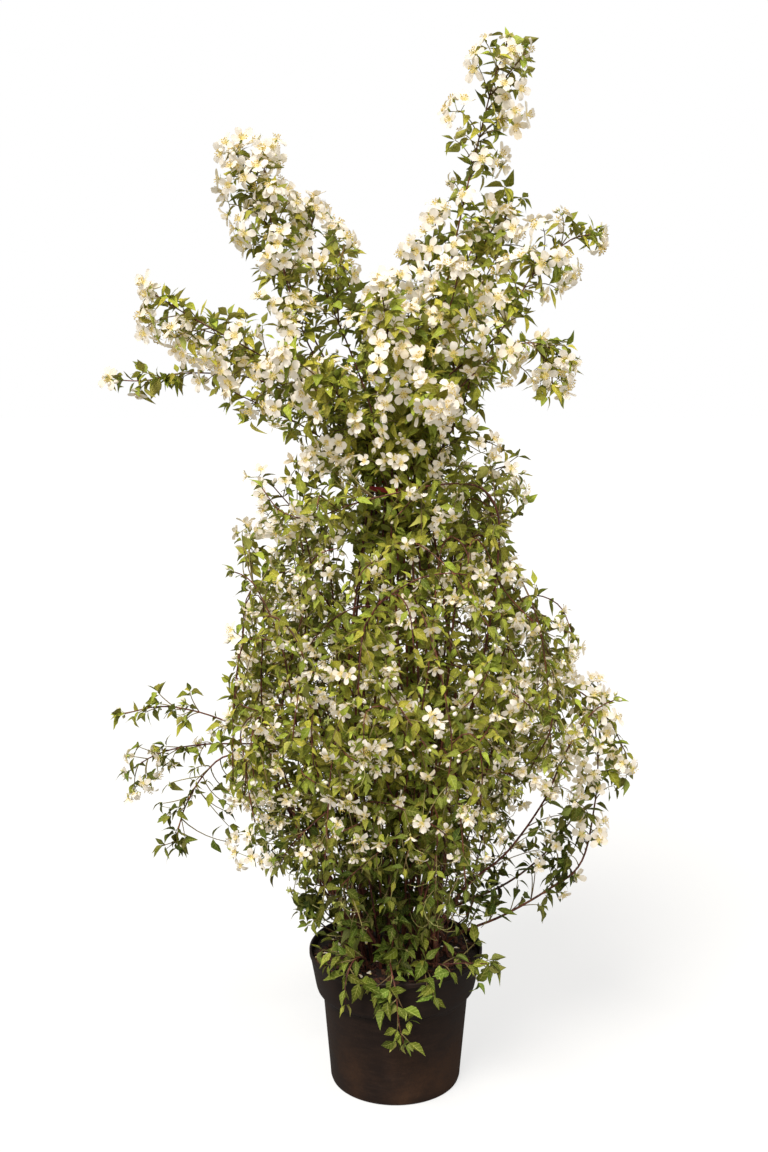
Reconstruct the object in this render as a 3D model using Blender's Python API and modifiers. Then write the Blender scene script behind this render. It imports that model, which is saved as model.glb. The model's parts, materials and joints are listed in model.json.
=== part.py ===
# Potted mock orange: a flowering shrub of long arching canes, drawn in by a tie at its waist,
# growing in a plastic nursery pot. Metres, +Z up, origin at the middle of the pot's underside.
# Seen from the front (looking along +Y), +X is to the right.

import math
import random

import bmesh
import bpy
import numpy as np
from mathutils import Vector, noise
from mathutils.bvhtree import BVHTree

COLLECTION = "potted_mock_orange"
GAP = 0.0003                    # between pieces that touch

# Pot
POT_HEIGHT = 0.290
POT_RIM_RADIUS = 0.180          # outside, at the lip
POT_BAND_RADIUS = 0.166         # outside, at the foot of the rim band
POT_BAND_DEPTH = 0.086
POT_NECK_RADIUS = 0.151         # outside, just under the band
POT_BASE_RADIUS = 0.135
POT_WALL = 0.003
POT_STEPS = 32
DRAIN_HOLES = 4
DRAIN_RADIUS = 0.008
DRAIN_RING = 0.098

# Soil
SOIL_EDGE = 0.274               # height at the wall
SOIL_CROWN = 0.284              # height in the middle
SOIL_BUMP = 0.002
ROOT_DEPTH = 0.045              # how far a cane stands in its hole
UPRIGHT = 0.014                 # how far above the soil it still stands straight up

# Tie
TIE_HEIGHT = 1.262
TIE_WIDTH = 0.008
TIE_THICKNESS = 0.0016
TIE_TESTS = 180                 # directions in which the outermost cane is looked for
WAIST_RADIUS = 0.072            # of the bundle of canes inside the tie
WAIST_HALF = 0.030              # the canes are upright this far above and below the tie

# Canes
ROUTE_STEP = 0.025
FOOT_DISC = 0.112               # radius of the patch of soil that the canes stand in
FOOT_RADIUS = 0.0030
TIP_RADIUS = 0.0016
CANE_CLEARANCE = 0.019          # between the middles of two canes
BEND_TOLERANCE = 0.009
TWIG_RADIUS = 0.0014

# Leaves and blooms, as built here
BLADE_HALF = 0.0011             # half the thickness of a blade at its thickest
ROOT_SINK = 0.0010              # how far a blade's root passes the middle of its stem
LEAF_WIDTH = 0.50               # of its length
LEAF_FOLD = 0.16                # how far the sides of a blade lift, of its width
BLOOM_RADIUS = 0.0205
BLOOM_NOTCH = 0.50              # radius between two petals, of the bloom's
BLOOM_DEPTH = 0.0085            # from the petals back to the end of the calyx
CALYX_OFFSET = 0.0040           # a twig's end enters the bloom this far from its middle
ROOT_CLEAR = 0.0065             # stretch beside its own stem that a leaf or twig isn't tested on
GUARD = 0.0012                  # room kept round each piece

SEED = 41
GOLDEN = 0.6180339887

# Canes of the crown: the points that each follows above the tie, the length of its plume of bloom,
# and the forks near its end
CROWN = (
    {"route": ((0.07, 0.00, 1.39), (0.085, 0.00, 1.58), (0.12, 0.00, 1.77), (0.15, 0.00, 1.90),
               (0.18, 0.00, 2.02), (0.205, 0.00, 2.09)), "plume": 0.36,
     "fork": ((0.173, 0.00, 1.99), (0.215, -0.01, 2.045), (0.24, -0.01, 2.075))},
    {"route": ((0.06, 0.04, 1.40), (0.10, 0.05, 1.58), (0.14, 0.05, 1.67), (0.215, 0.05, 1.81)),
     "plume": 0},
    {"route": ((0.05, -0.03, 1.38), (0.09, -0.05, 1.47), (0.19, -0.05, 1.555), (0.25, -0.05, 1.66),
               (0.32, -0.05, 1.73), (0.375, -0.05, 1.745)), "plume": 0.30},
    {"route": ((0.06, -0.07, 1.36), (0.10, -0.10, 1.44), (0.19, -0.10, 1.525), (0.26, -0.10, 1.545),
               (0.32, -0.10, 1.515)), "plume": 0.22,
     "fork": ((0.262, -0.10, 1.543), (0.285, -0.11, 1.50), (0.292, -0.12, 1.455))},
    {"route": ((-0.05, 0.00, 1.36), (-0.10, 0.00, 1.44), (-0.17, 0.00, 1.57), (-0.22, 0.00, 1.69),
               (-0.27, 0.00, 1.82), (-0.30, 0.00, 1.89)), "plume": 0.36},
    {"route": ((-0.04, 0.03, 1.38), (-0.09, 0.05, 1.52), (-0.14, 0.05, 1.64), (-0.165, 0.05, 1.72),
               (-0.16, 0.05, 1.79)), "plume": 0.28,
     "fork": ((-0.11, 0.05, 1.565), (-0.115, 0.03, 1.65), (-0.10, 0.02, 1.725))},
    {"route": ((-0.04, -0.03, 1.34), (-0.08, -0.05, 1.39), (-0.15, -0.05, 1.45),
               (-0.27, -0.05, 1.525), (-0.38, -0.05, 1.585), (-0.46, -0.05, 1.635)),
     "plume": 0.34},
    {"route": ((-0.06, 0.05, 1.34), (-0.11, 0.09, 1.37), (-0.19, 0.10, 1.42), (-0.29, 0.10, 1.465),
               (-0.42, 0.10, 1.475), (-0.50, 0.10, 1.46), (-0.545, 0.10, 1.46)), "plume": 0},
    {"route": ((0.00, -0.08, 1.38), (-0.01, -0.15, 1.50), (-0.02, -0.21, 1.59),
               (-0.03, -0.25, 1.65)), "plume": 0.24},
    {"route": ((0.03, -0.06, 1.40), (0.07, -0.12, 1.53), (0.10, -0.18, 1.63), (0.11, -0.21, 1.68)),
     "plume": 0.24},
    {"route": ((-0.03, 0.07, 1.40), (-0.07, 0.16, 1.56), (-0.11, 0.25, 1.69), (-0.13, 0.29, 1.75)),
     "plume": 0.28},
    {"route": ((0.04, 0.06, 1.40), (0.10, 0.16, 1.58), (0.15, 0.25, 1.70), (0.18, 0.29, 1.76)),
     "plume": 0.28},
    {"route": ((0.02, 0.01, 1.40), (0.04, 0.02, 1.55), (0.06, 0.02, 1.67), (0.075, 0.01, 1.77)),
     "plume": 0.28},
    {"route": ((-0.01, 0.09, 1.36), (-0.03, 0.20, 1.46), (-0.02, 0.31, 1.52), (0.00, 0.39, 1.53)),
     "plume": 0.22},
    {"route": ((0.02, -0.08, 1.36), (0.05, -0.18, 1.45), (0.07, -0.27, 1.475),
               (0.08, -0.34, 1.45)), "plume": 0.20},
    {"route": ((-0.04, -0.06, 1.36), (-0.10, -0.13, 1.44), (-0.16, -0.19, 1.50),
               (-0.20, -0.23, 1.53)), "plume": 0.20},
)

# Canes of the skirt that are laid by hand, from above the soil to the tip
SKIRT = (
    ((-0.12, -0.05, 0.42), (-0.19, -0.06, 0.60), (-0.26, -0.05, 0.755), (-0.33, -0.05, 0.79),
     (-0.40, -0.05, 0.815), (-0.47, -0.05, 0.825), (-0.54, -0.05, 0.81)),
    ((-0.12, 0.04, 0.42), (-0.18, 0.05, 0.58), (-0.25, 0.05, 0.70), (-0.34, 0.05, 0.715),
     (-0.43, 0.05, 0.71), (-0.50, 0.05, 0.69), (-0.555, 0.05, 0.655)),
    ((-0.11, -0.09, 0.42), (-0.18, -0.11, 0.58), (-0.27, -0.11, 0.72), (-0.33, -0.10, 0.74),
     (-0.38, -0.10, 0.70), (-0.42, -0.10, 0.63), (-0.44, -0.10, 0.56)),
    ((-0.12, -0.02, 0.38), (-0.18, -0.04, 0.50), (-0.225, -0.04, 0.65), (-0.23, -0.02, 0.81),
     (-0.20, -0.01, 0.95), (-0.17, 0.00, 1.08), (-0.19, 0.00, 1.19), (-0.24, -0.01, 1.26)),
    ((-0.12, -0.06, 0.42), (-0.16, -0.10, 0.60), (-0.19, -0.15, 0.80), (-0.22, -0.16, 0.98),
     (-0.27, -0.14, 1.09), (-0.31, -0.11, 1.11)),
    ((-0.06, -0.12, 0.45), (-0.08, -0.19, 0.70), (-0.07, -0.24, 0.97), (-0.05, -0.24, 1.05),
     (-0.01, -0.26, 1.10), (0.02, -0.30, 1.08), (0.03, -0.33, 1.01)),
    ((0.02, -0.09, 0.45), (0.02, -0.13, 0.75), (0.00, -0.15, 1.00), (0.005, -0.175, 1.09),
     (0.035, -0.21, 1.075), (0.065, -0.265, 1.01), (0.085, -0.30, 0.93), (0.10, -0.31, 0.83),
     (0.09, -0.30, 0.73)),
    ((0.06, -0.08, 0.45), (0.09, -0.09, 0.75), (0.11, -0.09, 1.00), (0.13, -0.095, 1.15),
     (0.17, -0.11, 1.18), (0.23, -0.13, 1.11), (0.27, -0.145, 1.02), (0.29, -0.15, 0.90),
     (0.30, -0.15, 0.76)),
    ((0.14, -0.02, 0.33), (0.22, -0.02, 0.365), (0.31, -0.02, 0.42), (0.38, -0.02, 0.48),
     (0.405, -0.02, 0.60), (0.41, -0.02, 0.70), (0.40, -0.02, 0.79)),
    ((0.09, -0.06, 0.37), (0.15, -0.07, 0.46), (0.22, -0.09, 0.53), (0.29, -0.12, 0.65),
     (0.33, -0.14, 0.76), (0.38, -0.14, 0.84), (0.42, -0.13, 0.86)),
    ((0.12, 0.05, 0.35), (0.23, 0.06, 0.40), (0.31, 0.07, 0.46), (0.37, 0.07, 0.54),
     (0.41, 0.07, 0.61)),
    ((0.09, 0.01, 0.42), (0.15, 0.01, 0.60), (0.24, 0.01, 0.78), (0.34, 0.00, 0.85),
     (0.42, -0.01, 0.80), (0.465, -0.02, 0.72)),
    ((0.07, 0.06, 0.45), (0.12, 0.08, 0.70), (0.19, 0.08, 0.92), (0.26, 0.07, 1.02),
     (0.33, 0.06, 1.01), (0.36, 0.05, 0.95)),
    ((0.07, -0.05, 0.45), (0.13, -0.10, 0.75), (0.18, -0.13, 1.02), (0.195, -0.125, 1.20),
     (0.16, -0.13, 1.275), (0.08, -0.15, 1.285), (0.00, -0.155, 1.27), (-0.08, -0.155, 1.25),
     (-0.16, -0.14, 1.22), (-0.22, -0.12, 1.23), (-0.255, -0.10, 1.27)),
    ((0.06, 0.05, 0.50), (0.10, 0.06, 0.90), (0.12, 0.05, 1.15), (0.16, 0.02, 1.26),
     (0.21, 0.00, 1.30), (0.24, 0.00, 1.285)),
)

# Canes of the skirt that follow a rule: compass angle in degrees (0 is +X), then radius and height
# of the top of the arch and of the tip
SKIRT_ARCHES = (
    (50, 0.20, 1.12, 0.32, 0.80),
    (72, 0.22, 0.85, 0.35, 0.60),
    (92, 0.18, 1.22, 0.31, 0.95),
    (112, 0.24, 0.80, 0.37, 0.55),
    (135, 0.20, 1.08, 0.33, 0.78),
    (160, 0.22, 0.88, 0.33, 0.62),
    (-115, 0.22, 0.85, 0.32, 0.58),
    (-66, 0.20, 0.78, 0.32, 0.54),
)

# Low shoots at the foot of the plant
LOW = (
    ((-0.065, -0.12, 0.32), (-0.085, -0.165, 0.335), (-0.10, -0.20, 0.305), (-0.10, -0.21, 0.265)),
    ((-0.01, -0.13, 0.315), (-0.01, -0.175, 0.32), (0.00, -0.205, 0.285), (0.005, -0.208, 0.225),
     (0.015, -0.20, 0.175)),
    ((0.05, -0.11, 0.305), (0.09, -0.14, 0.315), (0.14, -0.155, 0.325), (0.185, -0.16, 0.325)),
    ((-0.09, 0.09, 0.33), (-0.13, 0.13, 0.355), (-0.18, 0.16, 0.36)),
)

# Habit of each kind of cane: how far up it leaves begin, distance between joints, chance and
# length of side twigs, chance that a twig ends in bloom, leaf length, and how far twigs rise
HABITS = {
    "crown": {"leafy_after": 0.31, "spacing": 0.034, "twig_chance": 0.75, "twig": (0.030, 0.075),
              "bloom_chance": 0.85, "bloom_from": 1.31, "leaf": (0.024, 0.036), "rise": 0.30},
    "skirt": {"leafy_after": 0.12, "spacing": 0.042, "twig_chance": 0.55, "twig": (0.050, 0.130),
              "bloom_chance": 0.22, "bloom_from": 0.42, "leaf": (0.028, 0.042), "rise": 0.00},
    "low": {"leafy_after": 0.07, "spacing": 0.024, "twig_chance": 0.10, "twig": (0.020, 0.040),
            "bloom_chance": 0.00, "bloom_from": 9.0, "leaf": (0.042, 0.060), "rise": 0.10},
}

# How many pieces each kind of node carries here
QUOTAS = {
    "crown": {"twigs": 2, "leaves": 2, "blooms": 2, "crowned": False},
    "head": {"twigs": 8, "leaves": 2, "blooms": 8, "crowned": True},
    "skirt": {"twigs": 2, "leaves": 5, "blooms": 1, "crowned": False},
    "low": {"twigs": 0, "leaves": 5, "blooms": 0, "crowned": False},
}

# Colours, sRGB
COLOURS = {
    "pot": (48, 36, 32),
    "soil": (45, 31, 22),
    "tie": (188, 50, 58),
    "bark": (100, 58, 40),
    "leaf": (106, 116, 44),
    "young_leaf": (120, 150, 52),
    "petal": (226, 218, 202),
}


# Small helpers

def linear(colour):
    """An sRGB colour, 0 to 255, as Blender's linear colour with alpha."""
    values = [c / 255 for c in colour]
    return [v / 12.92 if v <= 0.04045 else ((v + 0.055) / 1.055) ** 2.4 for v in values] + [1.0]


def make_material(name, colour, roughness, metallic=0.0):
    material = bpy.data.materials.new(name)
    material.use_nodes = True
    shader = material.node_tree.nodes["Principled BSDF"]
    shader.inputs["Base Color"].default_value = linear(colour)
    shader.inputs["Roughness"].default_value = roughness
    shader.inputs["Metallic"].default_value = metallic
    material.diffuse_color = linear(colour)
    return material


def add_object(name, mesh, collection):
    thing = bpy.data.objects.new(name, mesh)
    collection.objects.link(thing)
    return thing


def add_mesh(name, points, faces, collection, slot=0):
    mesh = bpy.data.meshes.new(name)
    mesh.from_pydata([tuple(p) for p in points], [], faces)
    mesh.polygons.foreach_set("material_index", [slot] * len(faces))
    return add_object(name, mesh, collection)


def evaluated_mesh(thing):
    graph = bpy.context.evaluated_depsgraph_get()
    return bpy.data.meshes.new_from_object(thing.evaluated_get(graph))


def replace_with_evaluated(thing):
    """Applies an object's modifiers."""
    mesh = evaluated_mesh(thing)
    thing.modifiers.clear()
    thing.data = mesh


def boolean(thing, operation, operands, solver):
    modifier = thing.modifiers.new("join" if operation == "UNION" else "cut", "BOOLEAN")
    modifier.operation = operation
    modifier.operand_type = "COLLECTION"
    modifier.collection = operands
    modifier.solver = solver
    return modifier


def hide_cutters(collection):
    for cutter in collection.objects:
        cutter.hide_render = True
        cutter.display_type = "WIRE"


def unit(vector):
    return vector / max(np.linalg.norm(vector), 1e-9)


def turned(name, profile, steps, collection):
    """A solid of revolution from a profile of (radius, height)."""
    mesh = bpy.data.meshes.new(name)
    mesh.from_pydata([(r, 0, z) for r, z in profile],
                     [(i, i + 1) for i in range(len(profile) - 1)], [])
    thing = add_object(name, mesh, collection)
    screw = thing.modifiers.new("turn", "SCREW")
    screw.steps = steps
    screw.render_steps = steps
    screw.use_merge_vertices = True
    screw.merge_threshold = 0.00005
    replace_with_evaluated(thing)
    return thing


# Routes of the canes

def smooth_route(points, step):
    """Points about a step apart on a smooth curve through the given ones."""
    p = np.array(points, float)
    p = np.vstack([2 * p[0] - p[1], p, 2 * p[-1] - p[-2]])
    pieces = []
    for a, b, c, d in zip(p, p[1:], p[2:], p[3:]):
        t = np.linspace(0, 1, 16, endpoint=False)[:, None]
        pieces.append(0.5 * (2 * b + (c - a) * t + (2 * a - 5 * b + 4 * c - d) * t ** 2
                             + (3 * b - a - 3 * c + d) * t ** 3))
    dense = np.vstack(pieces + [p[-2:-1]])
    run = run_length(dense)
    at = np.linspace(0, run[-1], max(4, round(run[-1] / step) + 1))
    return np.stack([np.interp(at, run, dense[:, k]) for k in range(3)], axis=1)


def run_length(points):
    steps = np.linalg.norm(np.diff(points, axis=0), axis=1)
    return np.concatenate([[0], np.cumsum(steps)])


def spots_in_disc(count, radius):
    """Evenly spread spots in a disc, in the order of a sunflower's seeds."""
    golden = math.pi * (3 - math.sqrt(5))
    return [np.array([math.cos(k * golden), math.sin(k * golden)])
            * radius * math.sqrt((k + 0.5) / count) for k in range(count)]


def share_spots(wanted, radius):
    """Gives each wanted place the free spot nearest to it, the outermost place first."""
    free = spots_in_disc(len(wanted), radius)
    given = {}
    for i in sorted(range(len(wanted)), key=lambda i: -np.linalg.norm(wanted[i])):
        best = min(range(len(free)), key=lambda k: np.linalg.norm(free[k] - wanted[i]))
        given[i] = free.pop(best)
    return [given[i] for i in range(len(wanted))]


def soil_height(x, y):
    r = min(1.0, math.hypot(x, y) / POT_RIM_RADIUS)
    bump = noise.noise(Vector((x * 28, y * 28, 3.7))) * SOIL_BUMP
    return SOIL_EDGE + (SOIL_CROWN - SOIL_EDGE) * (1 - r * r) + bump


def arch_points(angle, arch_radius, arch_height, tip_radius, tip_height):
    """A cane that rises, arches over outwards and hangs down."""
    c, s = math.cos(math.radians(angle)), math.sin(math.radians(angle))
    drop = arch_height - tip_height
    radii = (0.55 * arch_radius, 0.80 * arch_radius, arch_radius,
             0.35 * arch_radius + 0.65 * tip_radius, tip_radius)
    heights = (0.42, 0.30 + 0.60 * (arch_height - 0.30), arch_height,
               arch_height - 0.25 * drop, tip_height)
    return [(r * c, r * s, z) for r, z in zip(radii, heights)]


def plan_canes():
    """Every cane's kind, route of points from foot to tip, and what is special to it."""
    canes = []
    waists = share_spots([unit(np.array(c["route"][1][:2])) * WAIST_RADIUS for c in CROWN],
                         WAIST_RADIUS)
    for cane, waist in zip(CROWN, waists):
        below = waist * 1.9
        start = [(*(waist * 1.35), 0.45), (*below, 0.75), (*(waist * 1.5), 1.02),
                 (*waist, TIE_HEIGHT - WAIST_HALF), (*waist, TIE_HEIGHT + WAIST_HALF)]
        canes.append({"kind": "crown", "points": start + list(cane["route"]), "waist": waist,
                      "plume": cane["plume"], "fork": cane.get("fork")})
    skirts = list(SKIRT) + [arch_points(*arch) for arch in SKIRT_ARCHES]
    canes += [{"kind": "skirt", "points": list(route)} for route in skirts]
    canes += [{"kind": "low", "points": list(route)} for route in LOW]
    wanted = [np.array(c["points"][0][:2]) * 0.72 for c in canes]
    for cane, foot in zip(canes, share_spots(wanted, FOOT_DISC)):
        ground = soil_height(*foot)
        cane["foot"] = foot
        cane["ground"] = ground
        start = [(*foot, ground - ROOT_DEPTH), (*foot, ground + 0.012)]
        cane["route"] = smooth_route(start + cane["points"], ROUTE_STEP)
    spread([c["route"] for c in canes], [held_points(c) for c in canes])
    return canes


def held_points(cane):
    """Which points of a route stay where they are: its foot, and its waist inside the tie."""
    z = cane["route"][:, 2]
    held = np.arange(len(z)) < upright_points(cane)
    if cane["kind"] == "crown":
        held |= abs(z - TIE_HEIGHT) < WAIST_HALF + 0.004
    return held


def upright_points(cane):
    """How many points at the foot of a route stand straight up, in and just above the soil."""
    return int(np.argmax(cane["route"][:, 2] >= cane["ground"] + UPRIGHT))


def nearest_places(a0, a1, b0, b1):
    """For pairs of segments, how far along each their nearest points lie, 0 to 1."""
    u, v, w = a1 - a0, b1 - b0, a0 - b0
    uu, uv, vv = (u * u).sum(1), (u * v).sum(1), (v * v).sum(1)
    uw, vw = (u * w).sum(1), (v * w).sum(1)
    det = np.maximum(uu * vv - uv * uv, 1e-12)
    s = np.clip((uv * vw - vv * uw) / det, 0, 1)
    t = np.clip((uv * s + vw) / vv, 0, 1)
    return np.clip((uv * t - uw) / uu, 0, 1), t


def spread(routes, held, rounds=90):
    """Bends routes gently apart wherever two pass closer than the clearance."""
    first = np.concatenate([[0], np.cumsum([len(r) for r in routes])])
    points = np.vstack(routes)
    fixed = np.concatenate(held)
    owner = np.concatenate([[i] * len(r) for i, r in enumerate(routes)])
    segments = np.nonzero(owner[:-1] == owner[1:])[0]
    for turn in range(rounds):
        if turn % 10 == 0:
            middle = (points[segments] + points[segments + 1]) / 2
            near = ((middle[:, None] - middle[None]) ** 2).sum(2) < (CANE_CLEARANCE + 0.05) ** 2
            near &= owner[segments][:, None] < owner[segments][None]
            i, j = (segments[k] for k in np.nonzero(near))
        s, t = nearest_places(points[i], points[i + 1], points[j], points[j + 1])
        s, t = s[:, None], t[:, None]
        apart = points[i] * (1 - s) + points[i + 1] * s - points[j] * (1 - t) - points[j + 1] * t
        gap = np.linalg.norm(apart, axis=1, keepdims=True)
        aside = np.where(gap > 1e-4, apart / np.maximum(gap, 1e-4), [[1.0, 0.0, 0.0]])
        push = aside * np.maximum(CANE_CLEARANCE - gap, 0) * 0.5
        move = np.zeros_like(points)
        for index, share in ((i, push * (1 - s)), (i + 1, push * s),
                             (j, -push * (1 - t)), (j + 1, -push * t)):
            np.add.at(move, index, share)
        move[fixed] = 0
        last = turn >= rounds - 12
        for a, b in zip(first, first[1:]):
            for _ in range(1 if last else 4):
                padded = np.vstack([move[a:a + 1], move[a:b], move[b - 1:b]])
                move[a:b] = 0.25 * padded[:-2] + 0.5 * padded[1:-1] + 0.25 * padded[2:]
        move[fixed] = 0
        points += move * (0.9 if last else 1.5)
    for route, a, b in zip(routes, first, first[1:]):
        route[:] = points[a:b]


def simplified(points, keep, tolerance):
    """Indexes of the fewest points that stay within the tolerance of the route."""
    kept = set(keep) | {0, len(points) - 1}
    stack = list(zip(sorted(kept), sorted(kept)[1:]))
    while stack:
        a, b = stack.pop()
        if b - a < 2:
            continue
        along = unit(points[b] - points[a])
        offset = points[a + 1:b] - points[a]
        away = np.linalg.norm(offset - np.outer(offset @ along, along), axis=1)
        if away.max() > tolerance:
            k = a + 1 + int(away.argmax())
            kept.add(k)
            stack += [(a, k), (k, b)]
    return sorted(kept)


# Growth: where each cane carries leaves, twigs and blooms

def beside(direction, turn):
    """A unit vector square to a direction, at an angle round it."""
    reference = np.array([0, 0, 1.0]) if abs(direction[2]) < 0.9 else np.array([1.0, 0, 0])
    a = unit(np.cross(direction, reference))
    return a * math.cos(turn) + np.cross(direction, a) * math.sin(turn)


def leaf_pair(centre, stem, side, length, droop, rng):
    """Two opposite leaves: centre, the direction of each blade, the upper face and the length."""
    up = np.array([0, 0, 1.0])
    blades = []
    for sign in (1, -1):
        lean = rng.uniform(0.25, 0.75)
        blades.append(unit(side * sign + stem * lean - up * droop * rng.uniform(0.3, 1.3)))
    face = unit(up * 0.8 + stem * 0.25 + unit(centre * [1, 1, 0]) * 0.45)
    return {"centre": centre, "blades": blades, "face": face, "length": length}


def grow_twig(root, stem, side, habit, rng, sign):
    """A side twig: a curved spine with pairs of leaves, ending in blooms or in leaves."""
    out = unit(root * [1, 1, 0])
    length = rng.uniform(*habit["twig"])
    lean = rng.uniform(0.5, 1.0)
    aim = unit(side * sign + stem * lean + out * 0.45 + np.array([0, 0, habit["rise"]]))
    bend = np.array([0, 0, rng.uniform(-0.35, 0.15) + habit["rise"]]) * 0.5
    ways = np.linspace(0, 1, 5)[:, None]
    spine = root + aim * length * ways + bend * length * ways ** 2
    turn = rng.uniform(0, math.tau)
    pairs = []
    for k in range(max(1, round(length / 0.030))):
        place = (k + 0.75) / max(1, round(length / 0.030))
        centre = root + aim * length * place + bend * length * place ** 2
        leaf = rng.uniform(*habit["leaf"]) * (1.0 - 0.25 * place)
        pairs.append(leaf_pair(centre, aim, beside(aim, turn), leaf, 0.25, rng))
        turn += math.pi / 2 + rng.uniform(-0.3, 0.3)
    blooms = []
    chance = rng.random()
    count = rng.choice((1, 1, 2, 3))
    facing = unit(aim + np.array([0, 0, rng.uniform(-0.2, 0.5)]) + out * 0.3)
    if root[2] > habit["bloom_from"] and chance < habit["bloom_chance"]:
        blooms.append({"centre": spine[-1], "facing": facing, "size": rng.uniform(0.88, 1.1)})
        for k in range(1, count):
            way = unit(beside(facing, rng.uniform(0, math.tau)) + facing * 0.55)
            place = spine[-1] - aim * 0.012 * k
            blooms.append({"centre": place + way * 0.012, "facing": way,
                           "size": rng.uniform(0.8, 1.0)})
    return {"spine": spine, "pairs": pairs, "blooms": blooms, "length": length}


def grow(route, habit, rng):
    """Leaf pairs and twigs along a route. Joints turn by a quarter from one to the next."""
    run = run_length(route)
    turn = rng.uniform(0, math.tau)
    at = 0.02
    joints = []
    while at < run[-1] - 0.008:
        centre = np.array([np.interp(at, run, route[:, k]) for k in range(3)])
        ahead = np.array([np.interp(at + 0.01, run, route[:, k]) for k in range(3)])
        behind = np.array([np.interp(at - 0.01, run, route[:, k]) for k in range(3)])
        stem = unit(ahead - behind)
        side = beside(stem, turn)
        joint = {"at": at, "centre": centre, "stem": stem, "twigs": []}
        joint["pair"] = leaf_pair(centre, stem, side, rng.uniform(*habit["leaf"]), 0.35, rng)
        tapering = 1.0 - 0.45 * at / run[-1]
        for sign in (1, -1):
            twig = grow_twig(centre, stem, side, habit, rng, sign)
            if rng.random() < habit["twig_chance"] * (0.6 + 0.4 * tapering):
                joint["twigs"].append(twig)
        if at > habit["leafy_after"]:
            joints.append(joint)
        at += habit["spacing"] * rng.uniform(0.8, 1.25)
        turn += math.pi / 2 + rng.uniform(-0.35, 0.35)
    return joints


# Shapes of the small repeats

def sphere_net(segments):
    """Faces of a sphere of one ring and two poles, with the order of its corners."""
    ball = bmesh.new()
    bmesh.ops.create_uvsphere(ball, u_segments=segments, v_segments=2, radius=1)
    ball.verts.index_update()
    faces = [[v.index for v in face.verts] for face in ball.faces]
    ring = sorted((v for v in ball.verts if abs(v.co.z) < 0.5),
                  key=lambda v: math.atan2(v.co.y, v.co.x) % math.tau)
    order = [v.index for v in ring]
    order += [v.index for v in ball.verts if v.co.z > 0.5]
    order += [v.index for v in ball.verts if v.co.z < -0.5]
    ball.free()
    return faces, order


def on_net(net, corners):
    """Corners, given as the ring, the upper pole and the lower pole, on a sphere's faces."""
    faces, order = net
    points = [None] * len(corners)
    for index, corner in zip(order, corners):
        points[index] = corner
    return points, faces


LEAF_NET = sphere_net(6)
BLOOM_NET = sphere_net(8)


def blade_frame(pair, blade):
    """A blade's sideways direction and the upper side of its face."""
    across = unit(np.cross(pair["face"], blade))
    return across, np.cross(blade, across)


def leaf_shape(pair, blade):
    """A folded, pointed blade whose root is sunk in its stem."""
    length = pair["length"]
    half = length * LEAF_WIDTH / 2
    across, up = blade_frame(pair, blade)
    sides = []
    for side in (1, -1):
        lift = (across * side + up * LEAF_FOLD * 2) * half
        sides += [blade * length * 0.33 + lift, blade * length * 0.68 + lift * 0.70]
    ring = [blade * length, sides[1], sides[0], -blade * ROOT_SINK, sides[2], sides[3]]
    crease = blade * length * 0.36
    points = ring + [crease + up * BLADE_HALF, crease - up * BLADE_HALF]
    return on_net(LEAF_NET, [pair["centre"] + point for point in points])


def bloom_shape(bloom):
    """A four-petalled bloom, cupped, that narrows to its calyx behind."""
    radius = BLOOM_RADIUS * bloom["size"]
    facing = bloom["facing"]
    a = beside(facing, 0.4)
    b = np.cross(facing, a)
    ring = []
    for k in range(8):
        angle = k * math.pi / 4
        reach = radius if k % 2 == 0 else radius * BLOOM_NOTCH
        cup = 0.16 * radius if k % 2 == 0 else 0
        ring.append(bloom["centre"] + (a * math.cos(angle) + b * math.sin(angle)) * reach
                    + facing * cup)
    poles = [bloom["centre"] + facing * 0.0006, bloom["centre"] - facing * BLOOM_DEPTH]
    return on_net(BLOOM_NET, ring + poles)


def twig_shape(root, tip, radius):
    """A three-sided tapering twig."""
    cone = bmesh.new()
    length = np.linalg.norm(tip - root)
    bmesh.ops.create_cone(cone, cap_ends=True, segments=3, radius1=radius, radius2=radius * 0.8,
                          depth=length)
    turn = Vector((0, 0, 1)).rotation_difference(Vector(tip - root))
    middle = Vector((root + tip) / 2)
    points = [np.array(turn @ v.co + middle) for v in cone.verts]
    cone.verts.index_update()
    faces = [[v.index for v in face.verts] for face in cone.faces]
    cone.free()
    return points, faces


def stem_section():
    """The three-sided section of every stem, of radius 1, before a stem's own radius."""
    curve = bpy.data.curves.new("stem_section", "CURVE")
    spline = curve.splines.new("POLY")
    spline.points.add(2)
    spline.use_cyclic_u = True
    for k, spot in enumerate(spline.points):
        spot.co = (math.cos(math.tau * k / 3), math.sin(math.tau * k / 3), 0, 1)
    return bpy.data.objects.new("stem_section", curve)


def tube(name, points, radii, collection, slot=0):
    """A three-sided tube along points, as a closed mesh."""
    section = stem_section()
    collection.objects.link(section)
    curve = bpy.data.curves.new(name, "CURVE")
    curve.dimensions = "3D"
    curve.bevel_mode = "OBJECT"
    curve.bevel_object = section
    curve.use_fill_caps = True
    spline = curve.splines.new("POLY")
    spline.points.add(len(points) - 1)
    for spot, point, radius in zip(spline.points, points, radii):
        spot.co = (*point, 1)
        spot.radius = radius
    guide = add_object(name + "_curve", curve, collection)
    mesh = evaluated_mesh(guide)
    bpy.data.objects.remove(guide)
    bpy.data.objects.remove(section)
    shape = bmesh.new()
    shape.from_mesh(mesh)
    bmesh.ops.remove_doubles(shape, verts=shape.verts, dist=0.00001)
    bmesh.ops.recalc_face_normals(shape, faces=shape.faces)
    for face in shape.faces:
        face.material_index = slot
    shape.to_mesh(mesh)
    shape.free()
    return add_object(name, mesh, collection)


# Room: what is already there, so that nothing new crosses it

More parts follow.
